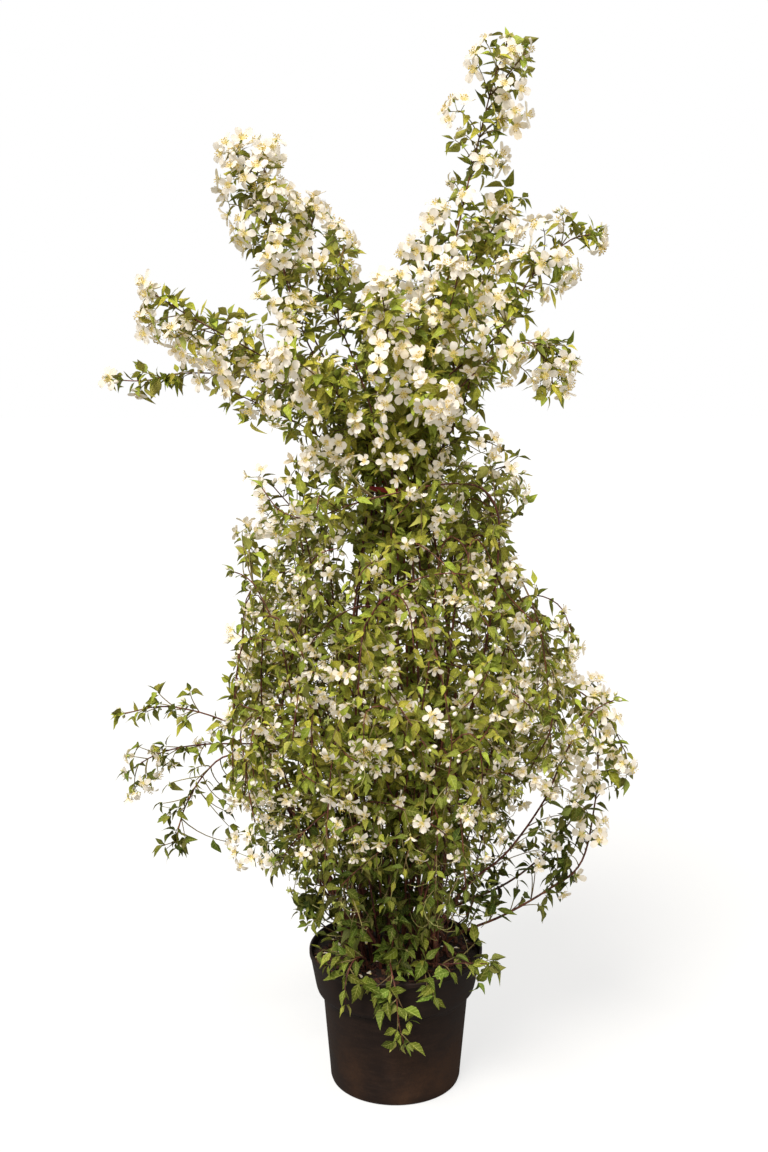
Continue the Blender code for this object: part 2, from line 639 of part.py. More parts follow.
class Room:
    def __init__(self):
        self.low = []
        self.high = []
        self.shapes = []

    def add(self, points, faces):
        points = np.array(points)
        self.low.append(points.min(axis=0))
        self.high.append(points.max(axis=0))
        self.shapes.append((points, faces))

    def add_object(self, thing):
        """Takes in an object face by face, so that a long one is still found by its place."""
        corners = np.array([thing.matrix_basis @ v.co for v in thing.data.vertices])
        for face in thing.data.polygons:
            self.add(corners[list(face.vertices)], [list(range(len(face.vertices)))])

    def is_free(self, points, faces):
        points = np.array(points)
        low, high = points.min(axis=0) - 0.0005, points.max(axis=0) + 0.0005
        near = np.nonzero((np.array(self.high) > low).all(axis=1)
                          & (np.array(self.low) < high).all(axis=1))[0]
        if not len(near):
            return True
        corners, sides = [], []
        for k in near:
            start = len(corners)
            corners += list(self.shapes[k][0])
            sides += [[start + i for i in face] for face in self.shapes[k][1]]
        return not BVHTree.FromPolygons([tuple(p) for p in points], faces).overlap(
            BVHTree.FromPolygons([tuple(p) for p in corners], sides))


def layered(outline, offset):
    """An outline twice, a little above and below itself, to test for room."""
    count = len(outline)
    points = [p + offset for p in outline] + [p - offset for p in outline]
    sides = [[k, (k + 1) % count, (k + 1) % count + count, k + count] for k in range(count)]
    return points, [list(range(count)), list(range(2 * count - 1, count - 1, -1))] + sides


def leaf_guard(pair, blade):
    half = pair["length"] * LEAF_WIDTH / 2 + GUARD
    across, up = blade_frame(pair, blade)
    length = pair["length"]
    sides = {}
    for side in (1, -1):
        lift = (across * side + up * LEAF_FOLD * 2) * half
        sides[side] = [blade * ROOT_CLEAR + across * side * 0.3 * half,
                       blade * length * 0.33 + lift, blade * length * 0.68 + lift * 0.75]
    outline = sides[1] + [blade * (length + GUARD)] + sides[-1][::-1]
    return layered([pair["centre"] + point for point in outline], up * (BLADE_HALF + GUARD))


def bloom_guards(bloom):
    """Four petals, each tested on its own."""
    guards = []
    radius = BLOOM_RADIUS * bloom["size"] + GUARD
    facing = bloom["facing"]
    a = beside(facing, 0.4)
    b = np.cross(facing, a)
    for k in range(4):
        along = a * math.cos(k * math.pi / 2) + b * math.sin(k * math.pi / 2)
        across = np.cross(facing, along)
        foot = bloom["centre"] + along * ROOT_CLEAR
        wide = bloom["centre"] + along * radius * 0.5
        outline = [foot + across * 0.003, wide + across * radius * 0.45,
                   bloom["centre"] + along * radius + facing * 0.16 * radius,
                   wide - across * radius * 0.45, foot - across * 0.003]
        guards.append(layered(outline, facing * (GUARD + 0.0008)))
    return guards


def twig_guards(root, tip):
    along = unit(tip - root)
    return [twig_shape(root + along * ROOT_CLEAR, tip + along * GUARD, TWIG_RADIUS + GUARD)]


# Building the nodes

def seat_on(path, centre):
    """The point of a path nearest to a place."""
    a, b = path[:-1], path[1:]
    along = b - a
    share = np.clip(((centre - a) * along).sum(1) / (along * along).sum(1), 0, 1)[:, None]
    spots = a + along * share
    return spots[np.linalg.norm(spots - centre, axis=1).argmin()]


def in_turn(items, first):
    """Items in an order that stays even along the stem wherever it stops, from a share of its length."""
    order = []
    for turn in range(4 * len(items)):
        k = int((first + turn * GOLDEN) % 1 * len(items))
        if k not in order:
            order.append(k)
    return [items[k] for k in order]


class Posy:
    """The pieces that one node has found room for, and how many of each kind it may have."""

    def __init__(self, room, quota):
        self.room = room
        self.left = dict(quota)
        self.parts = []

    def add(self, kind, guards, shape, slot):
        if self.left[kind] <= 0 or not all(self.room.is_free(*guard) for guard in guards):
            return False
        self.room.add(*shape)
        self.parts.append((shape, slot))
        self.left[kind] -= 1
        return True

    def add_leaves(self, pair, centre):
        placed = {**pair, "centre": centre}
        return sum([self.add("leaves", [leaf_guard(placed, blade)], leaf_shape(placed, blade), 1)
                    for blade in placed["blades"]])

    def add_bloom(self, bloom, end):
        """A bloom on the end of its twig, which enters beside the tip of the calyx."""
        aside = beside(bloom["facing"], 0.4 + math.pi / 8)
        placed = {**bloom, "centre": end + bloom["facing"] * 0.0015 + aside * CALYX_OFFSET}
        return self.add("blooms", bloom_guards(placed), bloom_shape(placed), 2)

    def add_twig(self, root, tip, thickness=1.0):
        shape = twig_shape(root, tip, TWIG_RADIUS * thickness)
        return self.add("twigs", twig_guards(root, tip), shape, 0)


def clothe(path, joints, quota, room, fork, first):
    """The pieces of a node that find room: its tip, then twigs with bloom, then leaves."""
    posy = Posy(room, quota)
    ahead = unit(path[-1] - path[-2])
    if quota["crowned"]:
        posy.add_bloom({"facing": ahead, "size": 1.0}, path[-1])
    else:
        pair = dict(joints[-1]["pair"])
        pair["blades"] = [unit(blade + ahead * 0.7) for blade in pair["blades"]]
        posy.add_leaves(pair, path[-1] - ahead * 0.004)
    for a, b in zip(fork, fork[1:]):
        posy.add_twig(a, b + unit(b - a) * 0.001, 1.2)
    if fork:
        facing = unit(fork[-1] - fork[-2])
        posy.add_bloom({"facing": facing, "size": 1.0}, fork[-1])
    twigs = [(joint, twig) for joint in joints for twig in joint["twigs"]]
    flowering = [item for item in twigs if item[1]["blooms"]]
    leafy = [item for item in twigs if not item[1]["blooms"]]
    for joint, twig in in_turn(flowering, first) + in_turn(leafy, first):
        if twig["blooms"] and posy.left["blooms"] <= 0:
            continue
        root = seat_on(path, joint["centre"])
        tip = root + twig["spine"][-1] - twig["spine"][0]
        if not posy.add_twig(root, tip):
            continue
        bloomed = bool(twig["blooms"]) and posy.add_bloom(twig["blooms"][0], tip)
        if not bloomed:
            posy.add_leaves(twig["pairs"][-1], root + (tip - root) * 0.94)
        elif posy.left["leaves"] > quota["leaves"] // 2:
            posy.add_leaves(twig["pairs"][-1], root + (tip - root) * 0.55)
    for joint in in_turn(joints, first + 0.3):
        posy.add_leaves(joint["pair"], seat_on(path, joint["centre"]))
    return posy.parts


def fuse(stem, parts, materials):
    """Joins a node's small pieces to its stem and keeps the one body that this makes."""
    pieces = bpy.data.collections.new("pieces")
    bpy.context.scene.collection.children.link(pieces)
    for (points, faces), slot in parts:
        piece = add_mesh("piece", points, faces, pieces, slot)
        for material in materials:
            piece.data.materials.append(material)
    for material in materials:
        stem.data.materials.append(material)
    if parts:
        boolean(stem, "UNION", pieces, "MANIFOLD")
        replace_with_evaluated(stem)
    for piece in list(pieces.objects):
        bpy.data.objects.remove(piece)
    bpy.data.collections.remove(pieces)
    keep_largest_body(stem)


def keep_largest_body(thing):
    shape = bmesh.new()
    shape.from_mesh(thing.data)
    left = set(shape.verts)
    bodies = []
    while left:
        body, edge = set(), [left.pop()]
        while edge:
            vert = edge.pop()
            body.add(vert)
            near = {e.other_vert(vert) for e in vert.link_edges} & left
            left -= near
            edge += near
        bodies.append(body)
    largest = max(bodies, key=len)
    bmesh.ops.delete(shape, geom=[v for v in shape.verts if v not in largest], context="VERTS")
    shape.to_mesh(thing.data)
    shape.free()


def make_pot(collection, cutters):
    foot = POT_HEIGHT - POT_BAND_DEPTH
    outside = [(POT_RIM_RADIUS - 0.0045, POT_HEIGHT), (POT_RIM_RADIUS, POT_HEIGHT - 0.001),
               (POT_RIM_RADIUS, POT_HEIGHT - 0.006), (POT_RIM_RADIUS - 0.0015, POT_HEIGHT - 0.008),
               (POT_BAND_RADIUS, foot + 0.003), (POT_BAND_RADIUS - 0.002, foot),
               (POT_NECK_RADIUS, foot - 0.004), (POT_BASE_RADIUS, 0.005),
               (POT_BASE_RADIUS - 0.004, 0.0), (0, 0)]
    inside = [(0, POT_WALL), (POT_BASE_RADIUS - 0.005, POT_WALL),
              (POT_BASE_RADIUS - POT_WALL, 0.008), (POT_NECK_RADIUS - POT_WALL, foot - 0.004),
              (POT_BAND_RADIUS - POT_WALL - 0.001, foot + 0.004),
              (POT_RIM_RADIUS - 0.0045, POT_HEIGHT)]
    pot = turned("pot", inside[:-1] + outside, POT_STEPS, collection)
    for k in range(DRAIN_HOLES):
        angle = math.tau * (k + 0.5) / DRAIN_HOLES
        bpy.ops.mesh.primitive_cylinder_add(vertices=8, radius=DRAIN_RADIUS, depth=0.02,
                                            location=(DRAIN_RING * math.cos(angle),
                                                      DRAIN_RING * math.sin(angle), 0))
        hole = bpy.context.object
        hole.name = "drain_cutter"
        for home in list(hole.users_collection):
            home.objects.unlink(hole)
        cutters.objects.link(hole)
    boolean(pot, "DIFFERENCE", cutters, "EXACT")
    replace_with_evaluated(pot)
    pot.data.shade_smooth()
    pot.data.set_sharp_from_angle(angle=math.radians(35))
    return pot


def make_soil(canes, collection, cutters):
    foot = POT_HEIGHT - POT_BAND_DEPTH
    slip = POT_WALL + GAP
    lip = (POT_RIM_RADIUS - 0.0045) - GAP
    low = POT_BAND_RADIUS - POT_WALL - 0.001 - GAP
    share = (SOIL_EDGE - foot - 0.004) / (POT_HEIGHT - foot - 0.004)
    rim = low + (lip - low) * share - GAP
    rings = [(rim * k / 3, SOIL_EDGE) for k in range(4)]
    wall = [(low - GAP, foot + 0.004), (POT_NECK_RADIUS - slip - GAP, foot - 0.002),
            (POT_BASE_RADIUS - slip - GAP, 0.0085), (POT_BASE_RADIUS - 0.006, POT_WALL + GAP),
            (0, POT_WALL + GAP)]
    soil = turned("soil", rings + wall, POT_STEPS, collection)
    for vert in soil.data.vertices:
        if abs(vert.co.z - SOIL_EDGE) < 1e-5:
            vert.co.z = soil_height(vert.co.x, vert.co.y)
    for cane in canes:
        low_end = np.array([*cane["foot"], cane["ground"] - ROOT_DEPTH - GAP])
        high_end = np.array([*cane["foot"], cane["ground"] + 0.03])
        side = FOOT_RADIUS + GAP * 2
        tube("root_cutter", [low_end, high_end], [side, side], cutters)
    boolean(soil, "DIFFERENCE", cutters, "MANIFOLD")
    replace_with_evaluated(soil)
    return soil


def make_tie(canes, collection):
    """A flat band, drawn tight round the canes that pass through it."""
    crown = [cane for cane in canes if cane["kind"] == "crown"]
    cane_radius = max(radius_at(cane, TIE_HEIGHT) for cane in crown)
    outer = []
    for k in range(TIE_TESTS):
        way = np.array([math.cos(math.tau * k / TIE_TESTS), math.sin(math.tau * k / TIE_TESTS)])
        waist = max((cane["waist"] for cane in crown), key=lambda w: w @ way)
        if not outer or waist is not outer[-1]:
            outer.append(waist)
    if outer[0] is outer[-1]:
        outer.pop()
    edges = [b - a for a, b in zip(outer, outer[1:] + outer[:1])]
    normals = [unit(np.array([edge[1], -edge[0]])) for edge in edges]
    outline = []
    for waist, before, after in zip(outer, normals[-1:] + normals[:-1], normals):
        half_turn = math.acos(max(-1, min(1, before @ after))) / 2
        offset = (cane_radius + GAP + TIE_THICKNESS / 2) / math.cos(half_turn)
        outline += [waist + before * offset, waist + after * offset]
    curve = bpy.data.curves.new("tie", "CURVE")
    curve.dimensions = "3D"
    curve.extrude = TIE_WIDTH / 2
    curve.bevel_depth = TIE_THICKNESS / 2
    curve.bevel_resolution = 0
    spline = curve.splines.new("POLY")
    spline.points.add(len(outline) - 1)
    spline.use_cyclic_u = True
    for spot, point in zip(spline.points, outline):
        spot.co = (*point, 0, 1)
    guide = add_object("tie_curve", curve, collection)
    mesh = evaluated_mesh(guide)
    bpy.data.objects.remove(guide)
    shape = bmesh.new()
    shape.from_mesh(mesh)
    bmesh.ops.remove_doubles(shape, verts=shape.verts, dist=0.00001)
    bmesh.ops.recalc_face_normals(shape, faces=shape.faces)
    shape.to_mesh(mesh)
    shape.free()
    tie = add_object("tie", mesh, collection)
    tie.location.z = TIE_HEIGHT
    return tie


def radius_at(cane, height):
    """A cane's radius where it first reaches a height."""
    run = run_length(cane["route"])
    k = int(np.argmax(cane["route"][:, 2] >= height))
    return FOOT_RADIUS + (TIP_RADIUS - FOOT_RADIUS) * run[k] / run[-1]


def coarse_path(cane):
    """The few points and radii that a cane's tube follows, and where its plume begins."""
    route = cane["route"]
    run = run_length(route)
    upright = upright_points(cane)
    route[:upright, :2] = cane["foot"]
    keep = [upright - 1]
    if cane["kind"] == "crown":
        waist = [k for k in range(len(route)) if abs(route[k, 2] - TIE_HEIGHT) < WAIST_HALF + 0.004]
        for k in waist:
            route[k, :2] = cane["waist"]
        keep += [waist[0], waist[-1]]
    cut = None
    if cane.get("plume"):
        cut = int(np.argmin(abs(run - (run[-1] - cane["plume"]))))
        keep += [cut, cut - 2]
    chosen = simplified(route, keep, BEND_TOLERANCE)
    points = route[chosen].copy()
    radii = FOOT_RADIUS + (TIP_RADIUS - FOOT_RADIUS) * run[chosen] / run[-1]
    # the foot keeps its full radius down in its hole
    radii[:2] = FOOT_RADIUS
    if cut is None:
        return points, radii, None, None
    return points, radii, chosen.index(cut), run[cut]


def plant(canes, collection, room, materials):
    """Lays all the stems first, then clothes them one after another."""
    nodes = []
    numbers = {}
    for cane in canes:
        kind = cane["kind"]
        numbers[kind] = numbers.get(kind, 0) + 1
        label = {"crown": "cane_crown", "skirt": "cane_skirt", "low": "shoot_low"}[kind]
        points, radii, cut, cut_run = coarse_path(cane)
        rng = random.Random(SEED * 1000 + len(nodes))
        joints = grow(cane["route"], HABITS[kind], rng)
        name = f"{label}_{numbers[kind]:02d}"
        if cut is None:
            stem = tube(name, points, radii, collection)
            nodes.append((stem, points, joints, kind, []))
            continue
        stem = tube(name, points[:cut + 1], radii[:cut + 1], collection)
        shown = [j for j in joints if j["centre"][2] > TIE_HEIGHT + WAIST_HALF]
        below = [j for j in shown if j["at"] < cut_run - 0.008]
        nodes.append((stem, points[:cut + 1], below, kind, []))
        ahead = unit(points[cut] - points[cut - 1])
        head = [points[cut] + ahead * GAP, points[cut] + ahead * 0.02, *points[cut + 1:]]
        head_radii = [radii[cut], radii[cut], *radii[cut + 1:]]
        tip = tube(name.replace("cane_crown", "bloom_head"), head, head_radii, collection)
        fork = []
        if cane["fork"]:
            fork = [np.array(p) for p in cane["fork"]]
            fork[0] = seat_on(np.array(head), fork[0])
        beyond = [j for j in joints if j["at"] > cut_run + 0.02]
        nodes.append((tip, np.array(head), beyond, "head", fork))
    for node in nodes:
        room.add_object(node[0])
    for number, (stem, path, joints, kind, fork) in enumerate(nodes):
        own = make_material(stem.name, COLOURS["young_leaf" if kind == "low" else "leaf"], 0.55)
        parts = clothe(path, joints, QUOTAS[kind], room, fork, number * GOLDEN % 1)
        fuse(stem, parts, [materials["bark"], own, materials["petal"]])


def main():
    for thing in list(bpy.data.objects):
        bpy.data.objects.remove(thing)
    scene = bpy.context.scene.collection
    collection = bpy.data.collections.new(COLLECTION)
    drain_cutters = bpy.data.collections.new("drain_cutters")
    root_cutters = bpy.data.collections.new("root_cutters")
    for group in (collection, drain_cutters, root_cutters):
        scene.children.link(group)
    canes = plan_canes()
    materials = {"bark": make_material("bark", COLOURS["bark"], 0.75),
                 "petal": make_material("petal", COLOURS["petal"], 0.6)}
    pot = make_pot(collection, drain_cutters)
    soil = make_soil(canes, collection, root_cutters)
    tie = make_tie(canes, collection)
    hide_cutters(drain_cutters)
    hide_cutters(root_cutters)
    for thing, colour, roughness in ((pot, "pot", 0.5), (soil, "soil", 0.95), (tie, "tie", 0.45)):
        thing.data.materials.clear()
        thing.data.materials.append(make_material(thing.name, COLOURS[colour], roughness))
    room = Room()
    for thing in (pot, soil, tie):
        room.add_object(thing)
    plant(canes, collection, room, materials)


main()
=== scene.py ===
# Potted mock orange: a tall shrub in full flower, drawn in by a tie, in its nursery pot.
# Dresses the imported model: smooth pot, compost with bark, woody canes, leaves and blooms.

import json
import math
import random

import bmesh
import bpy
import numpy as np
from mathutils import Matrix, Vector, noise

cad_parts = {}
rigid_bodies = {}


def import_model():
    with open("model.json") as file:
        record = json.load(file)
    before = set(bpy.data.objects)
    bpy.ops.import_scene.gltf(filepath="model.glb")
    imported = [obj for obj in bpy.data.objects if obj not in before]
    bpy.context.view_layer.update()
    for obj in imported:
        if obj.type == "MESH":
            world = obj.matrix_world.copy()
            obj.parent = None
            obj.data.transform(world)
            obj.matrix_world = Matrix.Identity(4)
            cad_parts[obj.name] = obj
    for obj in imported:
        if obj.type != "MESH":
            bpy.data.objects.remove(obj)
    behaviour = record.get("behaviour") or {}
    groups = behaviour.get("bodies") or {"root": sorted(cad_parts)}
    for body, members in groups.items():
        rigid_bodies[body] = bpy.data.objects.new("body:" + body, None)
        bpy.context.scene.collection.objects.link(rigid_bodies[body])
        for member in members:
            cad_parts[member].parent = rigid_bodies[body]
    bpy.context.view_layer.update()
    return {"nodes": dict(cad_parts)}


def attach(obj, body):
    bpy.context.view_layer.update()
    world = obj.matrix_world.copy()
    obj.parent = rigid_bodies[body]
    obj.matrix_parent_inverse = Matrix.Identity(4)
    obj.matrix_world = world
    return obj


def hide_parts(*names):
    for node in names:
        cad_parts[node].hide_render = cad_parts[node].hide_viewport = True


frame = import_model()
print("model loaded:", len(frame["nodes"]), "nodes")

nodeNames = sorted(frame["nodes"])
caneNodes = [n for n in nodeNames if n.startswith(("cane_", "bloom_head", "shoot_low"))]


def unit(vector):
    return vector / max(np.linalg.norm(vector), 1e-9)


def rotate(x, y, turn):
    return x * math.cos(turn) - y * math.sin(turn), x * math.sin(turn) + y * math.cos(turn)


def intoScene(thing):
    bpy.context.scene.collection.objects.link(thing)
    return thing


def evaluatedMesh(thing):
    return bpy.data.meshes.new_from_object(thing.evaluated_get(bpy.context.evaluated_depsgraph_get()))


def giveMaterial(mesh, material):
    mesh.materials.clear()
    mesh.materials.append(material)


def linearColour(red, green, blue):
    values = [c / 255 for c in (red, green, blue)]
    return [v / 12.92 if v <= 0.04045 else ((v + 0.055) / 1.055) ** 2.4 for v in values] + [1.0]


def feed(tree, socket, value):
    # a socket takes another node's output or a plain value
    if isinstance(value, bpy.types.NodeSocket):
        tree.links.new(value, socket)
    elif value is not None:
        socket.default_value = value


def addNode(tree, kind, sockets=None, **settings):
    node = tree.nodes.new(kind)
    for name, value in settings.items():
        setattr(node, name, value)
    for label, value in (sockets or {}).items():
        feed(tree, node.inputs[label], value)
    return node


def calc(tree, operation, first, second=None, clamp=False):
    return addNode(tree, "ShaderNodeMath", {0: first, 1: second}, operation=operation, use_clamp=clamp).outputs[0]


def times(tree, first, second):
    return calc(tree, "MULTIPLY", first, second)


def blendColour(tree, share, first, second):
    node = addNode(tree, "ShaderNodeMix", data_type="RGBA", blend_type="MIX")
    for label, value in (("Factor", share), ("A", first), ("B", second)):
        feed(tree, node.inputs[label], value)
    return node.outputs["Result"]


def mixShader(tree, share, first, second):
    return addNode(tree, "ShaderNodeMixShader", {0: share, 1: first, 2: second}).outputs[0]


def spanTo(tree, value, low, high, newLow=0.0, newHigh=1.0):
    node = addNode(tree, "ShaderNodeMapRange", interpolation_type="SMOOTHSTEP")
    for socket, number in zip(node.inputs, (value, low, high, newLow, newHigh)):
        feed(tree, socket, number)
    return node.outputs[0]


def noiseMask(tree, vector, scale, detail=4.0, roughness=0.6, stretch=None):
    if stretch:
        vector = addNode(tree, "ShaderNodeMapping", {"Vector": vector, "Scale": stretch}).outputs["Vector"]
    return addNode(tree, "ShaderNodeTexNoise", {"Vector": vector, "Scale": scale, "Detail": detail,
                                                "Roughness": roughness}).outputs["Fac"]


def objectPlace(tree):
    return addNode(tree, "ShaderNodeTexCoord").outputs["Object"]


def mapPlace(tree):
    return addNode(tree, "ShaderNodeUVMap", uv_map="leafMap").outputs[0]


def axes(tree, vector):
    return addNode(tree, "ShaderNodeSeparateXYZ", {0: vector}).outputs


def attribute(tree, name):
    return addNode(tree, "ShaderNodeAttribute", attribute_name=name).outputs["Fac"]


def newGroup(name, inputs, outputs, treeKind="ShaderNodeTree"):
    group = bpy.data.node_groups.new(name, treeKind)
    for label, kind, value in inputs:
        socket = group.interface.new_socket(label, in_out="INPUT", socket_type="NodeSocket" + kind)
        if value is not None:
            socket.default_value = value
    for label, kind in outputs:
        group.interface.new_socket(label, in_out="OUTPUT", socket_type="NodeSocket" + kind)
    return group, group.nodes.new("NodeGroupInput").outputs, group.nodes.new("NodeGroupOutput").inputs


def useGroup(tree, group, **values):
    return addNode(tree, "ShaderNodeGroup", values, node_tree=group).outputs


def newMaterial(name):
    material = bpy.data.materials.new(name)
    material.use_nodes = True
    return material, material.node_tree, material.node_tree.nodes["Principled BSDF"]


def paint(tree, shader, colour, rough, gloss=None):
    for label, value in (("Base Color", colour), ("Roughness", rough), ("Specular IOR Level", gloss)):
        feed(tree, shader.inputs[label], value)


def bump(tree, shader, height, strength, distance):
    node = addNode(tree, "ShaderNodeBump", {"Strength": strength, "Distance": distance, "Height": height})
    tree.links.new(node.outputs["Normal"], shader.inputs["Normal"])


def makeVeinGroup():
    # side veins that leave the midrib forwards, from a map that runs across (0 to 1) and along
    group, given, result = newGroup(
        "leafVeins",
        [("Map", "Vector", None), ("Pairs", "Float", 5.0), ("Lean", "Float", 1.1), ("Width", "Float", 0.16)],
        [("Rib", "Float"), ("Veins", "Float")])
    split = axes(group, given["Map"])
    across = times(group, calc(group, "ABSOLUTE", calc(group, "SUBTRACT", split[0], 0.5)), 2.0)
    slide = times(group, across, given["Lean"])
    phase = calc(group, "FRACT", calc(group, "SUBTRACT", times(group, split[1], given["Pairs"]), slide))
    away = calc(group, "ABSOLUTE", calc(group, "SUBTRACT", phase, 0.5))
    veins = calc(group, "SUBTRACT", 1.0, calc(group, "DIVIDE", away, given["Width"]), clamp=True)
    feed(group, result["Rib"], spanTo(group, across, 0.0, 0.11, 1.0, 0.0))
    feed(group, result["Veins"], veins)
    return group


def makeShadeGroup():
    # shifts a colour's hue and brightness by a value of 0 to 1 that each repeat carries
    group, given, result = newGroup(
        "shadeShift",
        [("Colour", "Color", (1, 1, 1, 1)), ("Shade", "Float", 0.5), ("Hue", "Float", 0.02),
         ("Brightness", "Float", 0.3)],
        [("Colour", "Color")])
    centred = calc(group, "SUBTRACT", given["Shade"], 0.5)
    shift = addNode(group, "ShaderNodeHueSaturation", {
        "Hue": calc(group, "ADD", 0.5, times(group, centred, given["Hue"])),
        "Value": calc(group, "ADD", 1.0, times(group, centred, given["Brightness"])),
        "Color": given["Colour"]})
    feed(group, result["Colour"], shift.outputs["Color"])
    return group


def makeDustGroup():
    # dry dust: a broad drift broken up by a fine grain
    group, given, result = newGroup(
        "dryDust",
        [("Place", "Vector", None), ("Drift", "Float", 9.0), ("Grain", "Float", 160.0), ("Amount", "Float", 0.5)],
        [("Mask", "Float"), ("Height", "Float")])
    drift = noiseMask(group, given["Place"], given["Drift"], detail=5.0)
    grain = noiseMask(group, given["Place"], given["Grain"], detail=3.0, roughness=0.7)
    mixed = times(group, spanTo(group, drift, 0.35, 0.75), spanTo(group, grain, 0.2, 0.8, 0.5, 1.0))
    feed(group, result["Mask"], calc(group, "MULTIPLY", mixed, given["Amount"], clamp=True))
    feed(group, result["Height"], grain)
    return group


veinGroup = makeVeinGroup()
shadeGroup = makeShadeGroup()
dustGroup = makeDustGroup()


def vary(tree, colour, shade, hue, brightness):
    return useGroup(tree, shadeGroup, Colour=colour, Shade=shade, Hue=hue, Brightness=brightness)["Colour"]


leafColours = {
    "deep": linearColour(82, 89, 5), "light": linearColour(159, 163, 52), "young": linearColour(182, 185, 76),
    "under": linearColour(170, 174, 96), "vein": linearColour(190, 192, 104),
    "freshDeep": linearColour(68, 84, 14), "freshLight": linearColour(118, 134, 52)}


def makeLeafMaterial(name, deep, light, pairs):
    material, tree, shader = newMaterial(name)
    veins = useGroup(tree, veinGroup, Map=mapPlace(tree), Pairs=pairs)
    shade = attribute(tree, "shade")
    mottle = spanTo(tree, noiseMask(tree, objectPlace(tree), 150.0, detail=3.0), 0.27, 0.66)
    colour = blendColour(tree, times(tree, spanTo(tree, mottle, 0.0, 1.0, 0.25, 0.85), shade), deep, light)
    colour = blendColour(tree, times(tree, attribute(tree, "young"), 0.6), colour, leafColours["young"])
    pale = calc(tree, "ADD", times(tree, veins["Rib"], 0.65), times(tree, veins["Veins"], 0.36), clamp=True)
    colour = blendColour(tree, pale, colour, leafColours["vein"])
    back = addNode(tree, "ShaderNodeNewGeometry").outputs["Backfacing"]
    colour = blendColour(tree, times(tree, back, 0.55), colour, leafColours["under"])
    # brightness follows the shade attribute: a random tone per leaf, with painted shade low on the skirt and painted
    # light on the outer crown
    colour = vary(tree, colour, shade, 0.0, 0.62)
    # the hue strays on its own, some leaves yellower and some bluer
    stray = calc(tree, "FRACT", times(tree, shade, 7.31))
    colour = vary(tree, colour, stray, 0.055, 0.0)
    paint(tree, shader, colour, spanTo(tree, mottle, 0.2, 0.8, 0.42, 0.62), 0.15)
    raised = calc(tree, "ADD", veins["Rib"], veins["Veins"])
    bump(tree, shader, calc(tree, "SUBTRACT", times(tree, mottle, 0.3), raised), 0.5, 0.0006)
    return material


# glow and baseGlow colour the petals' painted glow
petalColours = {
    "white": linearColour(221, 215, 208), "base": linearColour(218, 200, 104), "faded": linearColour(228, 206, 162),
    "streak": linearColour(204, 196, 180), "glow": linearColour(236, 222, 188), "baseGlow": linearColour(226, 200, 92)}


def makePetalMaterial():
    material, tree, shader = newMaterial("petalCream")
    leafMap = mapPlace(tree)
    base = spanTo(tree, axes(tree, leafMap)[1], 0.0, 0.46, 1.0, 0.0)
    colour = blendColour(tree, times(tree, base, 0.8), petalColours["white"], petalColours["base"])
    faded = spanTo(tree, attribute(tree, "shade"), 0.88, 1.0, 0.0, 0.45)
    colour = blendColour(tree, faded, colour, petalColours["faded"])
    streaks = noiseMask(tree, leafMap, 14.0, detail=3.0, stretch=(9.0, 0.8, 1.0))
    colour = blendColour(tree, times(tree, spanTo(tree, streaks, 0.45, 0.8), 0.16), colour, petalColours["streak"])
    paint(tree, shader, colour, spanTo(tree, streaks, 0.2, 0.9, 0.5, 0.7), 0.25)
    # painted glow: a warm emission on the petals stands in for light passing through them and lifts the shaded ones
    feed(tree, shader.inputs["Emission Color"],
         blendColour(tree, base, petalColours["glow"], petalColours["baseGlow"]))
    shader.inputs["Emission Strength"].default_value = 0.26
    bump(tree, shader, streaks, 0.5, 0.0006)
    return material


def makeStamenMaterial():
    material, tree, shader = newMaterial("stamenYellow")
    pollen = noiseMask(tree, objectPlace(tree), 900.0, detail=2.0)
    tips = blendColour(tree, pollen, linearColour(240, 216, 118), linearColour(222, 186, 86))
    along = axes(tree, mapPlace(tree))[1]
    colour = blendColour(tree, spanTo(tree, along, 0.5, 0.9), linearColour(234, 226, 160), tips)
    paint(tree, shader, colour, spanTo(tree, pollen, 0.2, 0.8, 0.6, 0.9))
    bump(tree, shader, pollen, 0.4, 0.0002)
    return material


def makeCalyxMaterial():
    material, tree, shader = newMaterial("calyxGreen")
    mottle = noiseMask(tree, objectPlace(tree), 260.0, detail=3.0)
    colour = blendColour(tree, mottle, linearColour(146, 152, 66), linearColour(194, 196, 114))
    colour = vary(tree, colour, attribute(tree, "shade"), 0.04, 0.35)
    paint(tree, shader, colour, spanTo(tree, mottle, 0.2, 0.8, 0.5, 0.7))
    bump(tree, shader, mottle, 0.4, 0.0003)
    return material


barkColours = {
    "dark": linearColour(64, 32, 23), "red": linearColour(124, 66, 46), "peeling": linearColour(166, 116, 82),
    "green": linearColour(140, 122, 66), "paleGreen": linearColour(186, 188, 116)}


def makeBarkMaterial():
    # woody canes are red-brown with paler peeling streaks; young wood is greener
    material, tree, shader = newMaterial("caneBark")
    place = objectPlace(tree)
    streaks = noiseMask(tree, place, 60.0, detail=5.0, stretch=(3.0, 3.0, 0.35))
    fine = noiseMask(tree, place, 420.0, detail=3.0, stretch=(1.0, 1.0, 0.25))
    old = blendColour(tree, spanTo(tree, streaks, 0.35, 0.7), barkColours["dark"], barkColours["red"])
    old = blendColour(tree, spanTo(tree, fine, 0.58, 0.72), old, barkColours["peeling"])
    green = blendColour(tree, streaks, barkColours["green"], barkColours["paleGreen"])
    colour = blendColour(tree, attribute(tree, "wood"), green, old)
    colour = vary(tree, colour, attribute(tree, "shade"), 0.02, 0.4)
    paint(tree, shader, colour, spanTo(tree, fine, 0.2, 0.8, 0.55, 0.8))
    bump(tree, shader, calc(tree, "ADD", streaks, fine), 0.6, 0.0006)
    return material


potLook = {
    "plastic": linearColour(36, 27, 24), "worn": linearColour(50, 38, 32), "dust": linearColour(88, 60, 40),
    "dustLow": 0.02, "dustHigh": 0.21}


